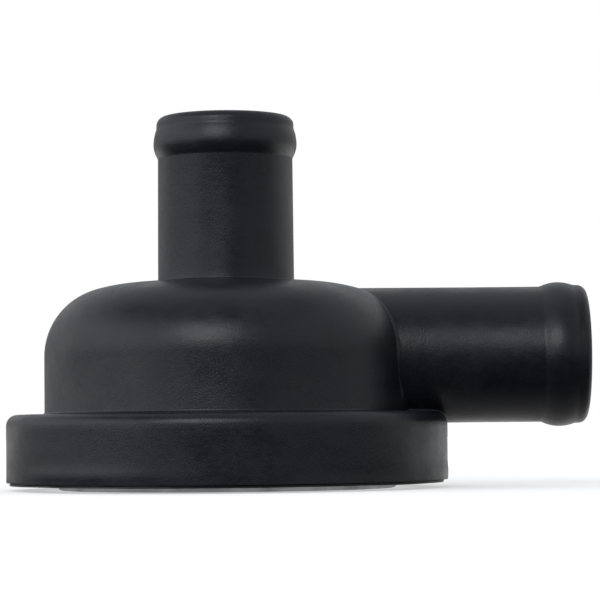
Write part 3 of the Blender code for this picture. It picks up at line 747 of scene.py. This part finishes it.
def side_port_blank(s, start, material):
    """The side port as a full solid, its root flared into the dome as a rolled ball would leave it."""
    facets, steps, ball = 144, 10, s.side_port_fillet
    sunk = ball / 30  # the flare's rim lies this far under the dome's face, so that it crosses it cleanly
    axis = Vector((0.0, 0.0, s.side_port_height))
    shape = bmesh.new()
    sections = []
    for i in range(facets):
        turn = math.tau * i / facets
        outward = Vector((0.0, math.sin(turn), math.cos(turn)))
        centre = axis + outward * (s.port_radius + ball)
        radius, normal_r, normal_z = dome_at(s, centre.z, ball - sunk)
        centre.x = math.sqrt(radius**2 - centre.y**2)
        plan = Vector((centre.x, centre.y)).normalized()
        to_dome = -Vector((normal_r * plan.x, normal_r * plan.y, normal_z))
        points = [Vector((start, 0.0, s.side_port_height))]
        points += [points[0] + outward * s.port_radius, centre + 1.5 * ball * to_dome]
        points += [centre + ball * to_dome.slerp(-outward, k / steps) for k in range(steps + 1)]
        straight = port_outline(s, s.side_port_end, s.side_bead_back)
        points += [axis + Vector((along, 0.0, 0.0)) + outward * r for r, along in straight]
        sections.append([shape.verts.new(point) for point in points])
    for one, other in zip(sections, sections[1:] + sections[:1]):
        for a, b, c, d in zip(one, one[1:], other[1:], other):
            shape.faces.new((a, b, c, d))
    bmesh.ops.remove_doubles(shape, verts=shape.verts, dist=WELD)
    return loose_solid("side_port_blank", shape, material)


def flange_face(s):
    """Points (r, z, normal r, normal z) of the flange, from inside the dome's wall out over its round."""
    edge, top = s.skirt_radius - s.skirt_round, s.skirt_top - s.flange_rise
    inner, flat_steps, round_steps = s.dome_radius - 0.5 * MM, 8, 14
    face = []
    for i in range(flat_steps + 1):
        r = inner + (edge - inner) * i / flat_steps
        face.append((r, top + s.flange_rise * (edge - r) / (edge - s.dome_radius), 0.0, 1.0))
    for i in range(1, round_steps):
        angle = RIGHT_ANGLE * (1 - i / round_steps)
        across, up = math.cos(angle), math.sin(angle)
        face.append((edge + s.skirt_round * across, top - s.skirt_round + s.skirt_round * up, across, up))
    return face


def under_port_fillet(s, material):
    """A thin fillet along the line where the side port's underside runs into the flange."""
    ball, sunk, steps, least_width = s.flange_fillet, 0.15 * MM, 8, 0.005 * MM
    straight = s.side_port_end - s.bead_inset - s.side_bead_back - s.dome_radius
    stations = []
    for r, z, across, up in flange_face(s):
        pipe = s.port_radius - s.port_draft * max(0.0, r - s.dome_radius) / straight
        drop = s.side_port_height - z
        if drop < pipe - least_width:
            y = math.sqrt(pipe**2 - drop**2)
            stations.append((Vector((math.sqrt(r**2 - y**2), -y, z)), across, up))
    pipe = s.port_radius - s.port_draft * (s.skirt_radius - s.dome_radius) / straight
    stations.append((Vector((s.skirt_radius, 0.0, s.side_port_height - pipe)), 1.0, 0.0))
    stations += [(Vector((p.x, -p.y, p.z)), across, up) for p, across, up in stations[-2::-1]]
    shape = bmesh.new()
    rings = []
    for point, across, up in stations:
        plan = Vector((point.x, point.y)).normalized()
        flange_way = Vector((across * plan.x, across * plan.y, up)).normalized()
        port_way = Vector((0.0, point.y, point.z - s.side_port_height)).normalized()
        both = flange_way + port_way
        centre = point + ball * both / (1.0 + flange_way.dot(port_way))
        section = [centre + ball * (-flange_way).slerp(-port_way, k / steps) for k in range(steps + 1)]
        section += [section[-1] - sunk * port_way, point - 2 * sunk * both.normalized()]
        section += [section[0] - sunk * flange_way]
        rings.append([shape.verts.new(spot) for spot in section])
    for one, other in zip(rings, rings[1:]):
        for a, b, c, d in zip(one, one[1:] + one[:1], other[1:] + other[:1], other):
            shape.faces.new((a, b, c, d))
    shape.faces.new(rings[0])
    shape.faces.new(rings[-1])
    return loose_solid("under_port_fillet", shape, material)


def carve(target, steps):
    """Applies exact Booleans in turn, and deletes their tools."""
    for tool, operation in steps:
        step = target.modifiers.new(tool.name, "BOOLEAN")
        step.operation = operation
        step.object = tool
        step.solver = "EXACT"
    settle(target)
    for tool, _ in steps:
        bpy.data.objects.remove(tool)
    return target


def uneven(angle, seed, size):
    """Smooth noise round a circle, from -1 to 1. The seed picks its row, a large size gives more lumps."""
    spot = Vector((math.cos(angle) * size, math.sin(angle) * size, seed))
    return noise.noise(spot) * 2


def rough_lip(mesh, s):
    """Makes the folded lip and the skirt's wall above it uneven, as a hot tool leaves them."""
    foot = s.lip_bottom + s.lip_step
    for vert in mesh.vertices:
        radius = math.hypot(vert.co.x, vert.co.y)
        if radius < s.lip_opening - MM or vert.co.z > s.skirt_top - s.skirt_round - s.flange_rise:
            continue
        angle = math.atan2(vert.co.y, vert.co.x)
        if vert.co.z > foot - 0.01 * MM:
            height = (vert.co.z - foot) / (s.skirt_top - s.skirt_round - foot)
            wave = math.cos(3.0 * (angle - s.swell_turn)) + 0.6 * uneven(angle, 2.6, 2.0)
            swell = wave * math.exp(-(((height - 0.15) / 0.11) ** 2))
            push = s.skirt_swell * (swell + 0.25 * uneven(angle, 4.9 + 2.0 * height, 2.5))
        else:
            depth = (foot - vert.co.z) / (foot - s.lip_bottom)
            swell = 0.5 + 0.35 * uneven(angle, 3.1, 2.2) + 0.15 * uneven(angle, 7.7, 9.0)
            vert.co.z += s.lip_waviness * min(1.0, max(0.0, swell)) * depth
            push = (0.5 * s.lip_waviness * uneven(angle, 1.3, 16.0) - s.lip_shift * math.cos(angle)) * depth
        vert.co.x += push * math.cos(angle)
        vert.co.y += push * math.sin(angle)


def rough_opening(mesh, s):
    """Makes the edge of the lip's opening wander a little."""
    for vert in mesh.vertices:
        radius = math.hypot(vert.co.x, vert.co.y)
        if vert.co.z > s.lip_top - WELD or abs(radius - s.lip_opening) > 0.2 * MM:
            continue
        angle = math.atan2(vert.co.y, vert.co.x)
        wander = s.lip_waviness * (0.6 * uneven(angle, 5.3, 3.0) + 0.5 * uneven(angle, 9.1, 14.0))
        vert.co.x += wander * math.cos(angle)
        vert.co.y += wander * math.sin(angle)


def smooth(obj):
    """Shades a piece smooth but for its sharp edges."""
    obj.data.shade_smooth()
    obj.data.set_sharp_from_angle(angle=math.radians(32.0))
    return obj


class PieceOperator(bpy.types.Operator):
    """Base of the operators that each make one piece."""

    bl_options = {"REGISTER", "UNDO"}
    group = "inside_sizes"  # the scene's settings that give the piece its sizes

    def execute(self, context):
        """Makes the piece, and raises an error if its mesh is empty."""
        piece = self.make(getattr(context.scene, self.group))
        if not piece.data.polygons:
            raise RuntimeError(piece.name + " came out empty")
        return {"FINISHED"}


class VALVE_OT_housing(PieceOperator):
    """Makes the moulded housing, with its two ports, seat tube, ribs, folded lip and parting line."""

    bl_idname = "vent_valve.housing"
    bl_label = "Make housing"
    group = "housing_sizes"

    def make(self, s):
        plastic = "moulded glass-filled nylon"
        outline = housing_outline(s)
        housing = turned("housing_moulding", outline, 288, plastic)
        rough_lip(housing.data, s)
        along_x = Matrix.Translation((0, 0, s.side_port_height)) @ Matrix.Rotation(RIGHT_ANGLE, 4, "Y")
        side_start = s.rib_reach + 0.5 * MM
        side_port = side_port_blank(s, side_start, plastic)
        hollow = turned("housing_hollow", hollow_outline(s), 192, plastic)
        rough_opening(hollow.data, s)
        carve(hollow, [(self.spring_ribs(s, plastic), "DIFFERENCE")])
        bore_outline = [(0.0, side_start), (s.port_bore, side_start)] + mouth_outline(s, s.side_port_end)
        bore = turned("side_bore", bore_outline, 96, plastic, along_x)
        steps = [(side_port, "UNION"), (under_port_fillet(s, plastic), "UNION")]
        steps += [(plate, "UNION") for plate in self.parting_flash(s, outline, plastic, along_x)]
        steps += [(hollow, "DIFFERENCE"), (bore, "DIFFERENCE")]
        carve(housing, steps)
        smooth(housing)
        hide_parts("housing")
        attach(housing, "housing")
        return housing

    def spring_ribs(self, s, plastic):
        """Ribs down the seat tube: the spring pushes on their ends, inside a short guide."""
        seat = spring_high.z + 0.3 * MM  # the gap between pieces that seat on each other
        root, top = s.seat_tube_radius - 0.5 * MM, s.shoulder_height + s.shoulder_radius
        corners = [(root, top, 0), (root, seat, 0), (s.rib_inside, seat, 0)]
        corners += [(s.rib_inside, seat - s.rib_guide, 0.1 * MM), (s.rib_reach, seat - s.rib_guide, 0.3 * MM)]
        corners += [(s.rib_reach, top, 0)]
        half_step = math.pi / s.rib_count
        return ribs_round("spring_ribs", rounded(corners), s.rib_thickness, s.rib_count, half_step, plastic)

    def parting_flash(self, s, outline, plastic, along_x):
        """Thin plates that stand out of the housing where the mould's halves met, in the XZ plane."""
        edge = [(r, z) for r, z in grown(outline[1:-1], s.flash_height) if z > s.lip_top + MM]
        upright = edge + [(-r, z) for r, z in edge[::-1]]
        port = grown(port_outline(s, s.side_port_end, s.side_bead_back)[:-1], s.flash_height)
        port = [(port[0][0], s.dome_radius)] + port
        level = port + [(-r, z) for r, z in port[::-1]]
        return [
            flat_solid("body_flash", upright, s.flash_width, plastic),
            flat_solid("side_port_flash", level, s.flash_width, plastic, along_x),
        ]


class VALVE_OT_cover(PieceOperator):
    """Makes the pressed steel cover with its vent hole."""

    bl_idname = "vent_valve.cover"
    bl_label = "Make cover"

    def make(self, inside):
        steel, sheet, bend = "zinc-plated steel", inside.sheet, inside.cover_bend
        inner_bend, rim_round, radius = bend - sheet / 2, 0.12 * MM, cover_high.x
        flat, step = inside.cover_flat, inside.cover_step
        corners = [(0.0, 0.0, 0), (flat, 0.0, bend), (flat, step, 0.2 * MM)]
        corners += [(radius, step, rim_round), (radius, step + sheet, rim_round)]
        corners += [(flat - sheet, step + sheet, bend), (flat - sheet, sheet, inner_bend), (0.0, sheet, 0)]
        cover = turned("cover_pressing", rounded(corners), 240, steel)
        soft, vent = 0.15 * MM, inside.vent_radius
        drill = [(0.0, -MM), (vent + soft, -MM), (vent + soft, 0.0)]
        drill += arc(Vector((vent + soft, soft)), soft, -RIGHT_ANGLE, -math.pi, 4)[1:]
        drill += [(vent, sheet + MM), (0.0, sheet + MM)]
        place = Matrix.Translation((-inside.vent_offset, 0, 0))
        carve(cover, [(turned("vent_drill", drill, 48, steel, place), "DIFFERENCE")])
        smooth(cover)
        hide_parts("cover")
        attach(cover, "housing")
        return cover


class VALVE_OT_clamp_ring(PieceOperator):
    """Makes the ring that the cover presses up against the diaphragm's edge."""

    bl_idname = "vent_valve.clamp_ring"
    bl_label = "Make clamp ring"

    def make(self, inside):
        inner, soft, chamfer = inside.ring_inside, 0.2 * MM, 0.8 * MM
        seam = (inner, ring_low.z + MM, 0)
        corners = [seam, (inner, ring_low.z, soft), (ring_high.x, ring_low.z, soft)]
        corners += [(ring_high.x, ring_high.z, soft), (inner + chamfer, ring_high.z, soft)]
        corners += [(inner, ring_high.z - chamfer, soft), seam]
        ring = smooth(turned("clamp_ring_moulding", rounded(corners, 3), 192, "moulded glass-filled nylon"))
        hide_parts("clamp_ring")
        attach(ring, "housing")
        return ring


class VALVE_OT_diaphragm(PieceOperator):
    """Makes the rubber diaphragm: its thick edge, and the membrane with its rolled fold."""

    bl_idname = "vent_valve.diaphragm"
    bl_label = "Make diaphragm"

    def make(self, inside):
        rubber, soft = "diaphragm rubber", 0.6 * MM
        low, high = rubber_high.z - inside.bead_height, rubber_high.z
        left, right = inside.ring_inside, rubber_high.x
        middle = (low + high) / 2
        corners = [(left, middle, 0), (left, low, soft), (right, low, soft), (right, high, soft)]
        corners += [(left, high, soft), (left, middle, 0)]
        edge = smooth(turned("diaphragm_edge", rounded(corners), 192, rubber))
        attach(edge, "housing")
        flat = rubber_low.z + inside.membrane / 2
        fold, hole, margin, steps = left - inside.flat_radius, inside.rivet_hole, 6 * MM, 32
        sheet = [(hole, flat), (hole + margin, flat), (inside.flat_radius - margin, flat)]
        for i in range(steps + 1):
            share = i / steps
            height = flat + (middle - flat) * (1 - math.cos(math.pi * share)) / 2
            sheet.append((inside.flat_radius + fold * share, height))
        sheet.append((left + soft, middle))
        membrane = turned("diaphragm_membrane", sheet, 192, rubber)
        membrane.data.flip_normals()
        wall = membrane.modifiers.new("wall", "SOLIDIFY")
        wall.thickness = inside.membrane
        wall.offset = 0.0
        smooth(membrane)
        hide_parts("diaphragm")
        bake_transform(membrane)
        return membrane


class VALVE_OT_spring(PieceOperator):
    """Makes the coil spring."""

    bl_idname = "vent_valve.spring"
    bl_label = "Make spring"

    def make(self, inside):
        spring = run_tree(
            "coil_spring",
            "Coil spring",
            points_mesh("coil_start", [(0, 0, 0)]),
            Coil_radius=inside.coil_radius,
            Wire_radius=inside.wire_radius,
            Turns=inside.coil_turns,
            Bottom=spring_low.z,
            Top=spring_high.z,
            Steps=480,
            Sides=20,
            Material=finish("drawn spring steel"),
        )
        smooth(spring)
        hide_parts("spring")
        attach(spring, "housing")
        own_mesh(spring)
        return spring


class VALVE_OT_valve_disc(PieceOperator):
    """Makes the moulded disc that closes on the seat."""

    bl_idname = "vent_valve.valve_disc"
    bl_label = "Make valve disc"

    def make(self, inside):
        plastic, soft = "moulded acetal", 0.12 * MM
        face, base, radius = inside.disc_face, disc_low.z, disc_high.x
        hub_top, ring_top = face + inside.hub_height, face + inside.locator_height
        hole, hub, ring_in = inside.rivet_hole, inside.hub_radius, inside.locator_inside
        ring_out = ring_in + inside.locator_wall
        taper, top_round = 0.1 * MM, 0.2 * MM
        corners = [(hole, base, 0), (radius, base, soft), (radius, face, 0.5 * MM), (ring_out, face, soft)]
        corners += [(ring_out - taper, ring_top, top_round), (ring_in + taper / 2, ring_top, top_round)]
        corners += [(ring_in, face, soft), (hub, face, soft), (hub - taper, hub_top, top_round)]
        corners += [(hole, hub_top, 0), (hole, base, 0)]
        disc = turned("valve_disc_moulding", rounded(corners), 192, plastic)
        carve(disc, [(self.stiffeners(inside, plastic), "UNION")])
        smooth(disc)
        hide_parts("valve_disc")
        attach(disc, "plate")
        return disc

    def stiffeners(self, inside, plastic):
        """Radial ribs between the spring's locating ring and the disc's edge."""
        low, high = inside.disc_face - 0.7 * MM, inside.disc_face + inside.disc_rib_height
        inner = inside.locator_inside + inside.locator_wall / 2
        outer = disc_high.x - MM
        corners = [(inner, low, 0), (outer, low, 0), (outer, inside.disc_face, 0)]
        corners += [(outer - inside.disc_rib_height, high, 0.4 * MM), (inner, high, 0)]
        thickness, ribs = inside.disc_rib_thickness, inside.disc_rib_count
        return ribs_round("disc_ribs", rounded(corners), thickness, ribs, 0.0, plastic)


class VALVE_OT_backing_washer(PieceOperator):
    """Makes the steel washer under the membrane."""

    bl_idname = "vent_valve.backing_washer"
    bl_label = "Make backing washer"

    def make(self, inside):
        low, high, radius, hole = washer_low.z, washer_high.z, washer_high.x, inside.rivet_hole
        edge = (high - low) / 2 - 0.02 * MM
        corners = [(hole, low, 0), (radius, low, edge), (radius, high, edge), (hole, high, 0), (hole, low, 0)]
        washer = smooth(turned("backing_washer_stamping", rounded(corners), 144, "zinc-plated steel"))
        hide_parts("backing_washer")
        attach(washer, "plate")
        return washer


class VALVE_OT_plate_rivet(PieceOperator):
    """Makes the rivet that holds disc, membrane and washer together."""

    bl_idname = "vent_valve.plate_rivet"
    bl_label = "Make plate rivet"

    def make(self, inside):
        low, top, head = rivet_low.z, rivet_high.z, rivet_high.x
        shank, flare, hollow = inside.rivet_radius, inside.rivet_flare, inside.rivet_radius / 2
        over_head, under_flare = low + inside.rivet_head, top - inside.rivet_head
        corners = [(0.0, low, 0), (head, low, 0.3 * MM), (head, over_head, 0.08 * MM)]
        corners += [(shank, over_head, 0), (shank, under_flare, 0), (flare, under_flare, 0.12 * MM)]
        corners += [(flare - 0.35 * MM, top, 0.3 * MM), (hollow + 0.3 * MM, top, 0.2 * MM)]
        corners += [(hollow, under_flare, 0.15 * MM), (0.0, under_flare, 0)]
        rivet = smooth(turned("plate_rivet_steel", rounded(corners), 64, "zinc-plated steel"))
        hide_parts("plate_rivet")
        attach(rivet, "plate")
        return rivet


class VALVE_OT_stage(bpy.types.Operator):
    """Makes the floor, the world, the lamps and the camera."""

    bl_idname = "vent_valve.stage"
    bl_label = "Make stage"
    bl_options = {"REGISTER", "UNDO"}

    def execute(self, context):
        sizes = context.scene.stage_sizes
        self.make_floor(context.scene.valve_colours.floor)
        self.make_world(context.scene, sizes)
        self.make_lamps(sizes)
        self.make_camera(context.scene, sizes)
        context.scene.view_settings.view_transform = "Standard"
        return {"FINISHED"}

    def make_floor(self, tint):
        """A round pale floor that keeps the valve's shadow, and glows for camera and mirrored rays."""
        reach = 3.0
        shape = bmesh.new()
        bmesh.ops.create_circle(shape, cap_ends=True, radius=reach, segments=96)
        mesh = bpy.data.meshes.new("floor")
        shape.to_mesh(mesh)
        shape.free()
        floor = bpy.data.objects.new("floor", mesh)
        floor.location.z = -0.02 * MM
        bpy.context.scene.collection.objects.link(floor)
        material, tree = new_material("pale studio floor")
        ray = add(tree, "ShaderNodeLightPath").outputs
        place = add(tree, "ShaderNodeTexCoord").outputs["Object"]
        axes = add(tree, "ShaderNodeSeparateXYZ", ("Vector", place)).outputs
        # In mirrored rays the floor is bright behind the valve, from farther back on the left, and half lit
        # right under it, where the cover sees it.
        left = maths(tree, "MINIMUM", axes["X"], 0.0)
        depth = maths(tree, "ADD", axes["Y"], maths(tree, "MULTIPLY", left, 0.6))
        away = add(tree, "ShaderNodeVectorMath", (0, place), operation="LENGTH").outputs["Value"]
        behind = between(tree, depth, -0.02, 0.03, 0.01, 0.9)
        under = between(tree, away, 0.042, 0.046, 0.35, 0.0)
        mirrored = maths(tree, "MULTIPLY", ray["Is Glossy Ray"], maths(tree, "MAXIMUM", behind, under))
        # The camera sees less of the glow near the valve, where the shadow lies.
        white = maths(tree, "MULTIPLY", ray["Is Camera Ray"], between(tree, away, 0.10, 0.45, 0.50, 1.0))
        seen = maths(tree, "ADD", white, mirrored)
        bounce = blend_colours(tree, ray["Is Camera Ray"], (0.06, 0.06, 0.06, 1.0), linear(tint))
        matt = add(tree, "ShaderNodeBsdfDiffuse", ("Color", bounce))
        glow = add(tree, "ShaderNodeEmission", ("Strength", seen))
        add_surface(material, "ShaderNodeAddShader", (0, matt.outputs[0]), (1, glow.outputs[0]))
        mesh.materials.append(material)

    def make_world(self, scene, sizes):
        """White for the camera. For the valve, a studio that depends on the way that a ray goes.

        It is pale behind, with a bright wall on the left, a dimmer one on the right, and a faint light from
        the left in front. Each range runs from where a light starts to where it is full.
        """
        world = bpy.data.worlds.new("studio")
        scene.world = world
        world.use_nodes = True
        tree = world.node_tree
        tree.nodes.clear()
        output = add(tree, "ShaderNodeOutputWorld")
        ray = add(tree, "ShaderNodeLightPath").outputs
        way = add(tree, "ShaderNodeTexCoord").outputs["Generated"]
        axes = add(tree, "ShaderNodeSeparateXYZ", ("Vector", way)).outputs
        above_floor = between(tree, axes["Z"], 0.0, 0.35, 0.5, 1.0)
        high = maths(tree, "MULTIPLY", above_floor, between(tree, axes["Z"], 0.60, 0.95, 1.0, 0.55))
        back = between(tree, axes["Y"], -0.10, 0.40, 0.0, sizes.backdrop_level)
        backdrop = maths(tree, "MULTIPLY", back, high)
        left_side = between(tree, axes["X"], -0.35, -0.80, 0.0, sizes.wall_level)
        low, forward = between(tree, axes["Z"], 0.85, 0.55), between(tree, axes["Y"], 0.70, -0.60, 0.42)
        left_wall = maths(tree, "MULTIPLY", left_side, maths(tree, "MULTIPLY", low, forward))
        right_wall = between(tree, axes["X"], 0.15, 0.60, 0.0, sizes.right_level)
        left_half = between(tree, axes["X"], 0.02, -0.10, 0.0, sizes.front_level)
        front = maths(tree, "MULTIPLY", left_half, between(tree, axes["Y"], 0.0, -0.30))
        walls = maths(tree, "MAXIMUM", maths(tree, "MAXIMUM", left_wall, right_wall), front)
        lit = maths(tree, "ADD", maths(tree, "MAXIMUM", backdrop, walls), sizes.world_level)
        level = add(tree, "ShaderNodeMix", ("Factor", ray["Is Camera Ray"]), (2, lit), (3, 1.0))
        tint = blend_colours(tree, ray["Is Camera Ray"], linear(sizes.light_tint), (1.0, 1.0, 1.0, 1.0))
        glow = add(tree, "ShaderNodeBackground", ("Color", tint), ("Strength", level.outputs[0]))
        tree.links.new(glow.outputs[0], output.inputs["Surface"])

    def make_lamps(self, sizes):
        """A soft box in front on the left, above the camera, and a wide one overhead."""
        aim = Vector((0.0, 0.0, 0.03))
        lamps = (
            ("key", Vector((-0.12, -0.54, 0.32)), (0.37, 0.28), sizes.key_level),
            ("top", Vector((-0.05, 0.0, 0.65)), (0.55, 0.55), sizes.top_level),
        )
        for name, place, size, power in lamps:
            lamp = bpy.data.lights.new(name, "AREA")
            lamp.shape = "RECTANGLE"
            lamp.size, lamp.size_y = size
            lamp.energy = power
            lamp.color = linear(sizes.light_tint)[:3]
            holder = bpy.data.objects.new(name, lamp)
            holder.location = place
            holder.rotation_euler = (aim - place).to_track_quat("-Z", "Y").to_euler()
            bpy.context.scene.collection.objects.link(holder)

    def make_camera(self, scene, sizes):
        """The photograph's view: level with the skirt, a little right of the axis, and aimed a little up."""
        eye = Vector((sizes.aim_side, -sizes.eye_distance, sizes.eye_height))
        aim = Vector((sizes.aim_side, 0.0, sizes.aim_height))
        camera = bpy.data.cameras.new("camera")
        camera.sensor_width = 36.0
        camera.lens = camera.sensor_width * (aim - eye).length / sizes.frame_width
        camera.clip_start, camera.clip_end = 0.01, 10.0
        holder = bpy.data.objects.new("camera", camera)
        holder.location = eye
        facing = (aim - eye).to_track_quat("-Z", "Y").to_matrix()
        holder.rotation_euler = (facing @ Matrix.Rotation(-sizes.roll, 3, "Z")).to_euler()
        scene.collection.objects.link(holder)
        scene.camera = holder


class VALVE_PT_panel(bpy.types.Panel):
    """Lists the steps that make the valve."""

    bl_idname = "VALVE_PT_panel"
    bl_label = "Crankcase Ventilation Valve"
    bl_space_type = "VIEW_3D"
    bl_region_type = "UI"
    bl_category = "Vent Valve"

    def draw(self, context):
        """One button for each piece, and one for the stage."""
        for maker in (*PIECES, VALVE_OT_stage):
            self.layout.operator(maker.bl_idname)


PIECES = (
    VALVE_OT_housing,
    VALVE_OT_cover,
    VALVE_OT_clamp_ring,
    VALVE_OT_diaphragm,
    VALVE_OT_spring,
    VALVE_OT_valve_disc,
    VALVE_OT_backing_washer,
    VALVE_OT_plate_rivet,
)
GROUPS = {
    "housing_sizes": HousingSizes,
    "inside_sizes": InsideSizes,
    "valve_colours": ValveColours,
    "stage_sizes": StageSizes,
}


def register():
    """Registers the settings, the operators and the panel."""
    for name, group in GROUPS.items():
        bpy.utils.register_class(group)
        setattr(bpy.types.Scene, name, bpy.props.PointerProperty(type=group))
    for item in (*PIECES, VALVE_OT_stage, VALVE_PT_panel):
        bpy.utils.register_class(item)


def unregister():
    """Removes what register added."""
    for item in (VALVE_PT_panel, VALVE_OT_stage, *reversed(PIECES)):
        bpy.utils.unregister_class(item)
    for name, group in reversed(GROUPS.items()):
        delattr(bpy.types.Scene, name)
        bpy.utils.unregister_class(group)


def main():
    """Builds the stage and every piece."""
    register()
    bpy.ops.vent_valve.stage()
    bpy.ops.vent_valve.housing()
    bpy.ops.vent_valve.cover()
    bpy.ops.vent_valve.clamp_ring()
    bpy.ops.vent_valve.diaphragm()
    bpy.ops.vent_valve.spring()
    bpy.ops.vent_valve.valve_disc()
    bpy.ops.vent_valve.backing_washer()
    bpy.ops.vent_valve.plate_rivet()


if __name__ == "__main__":
    main()
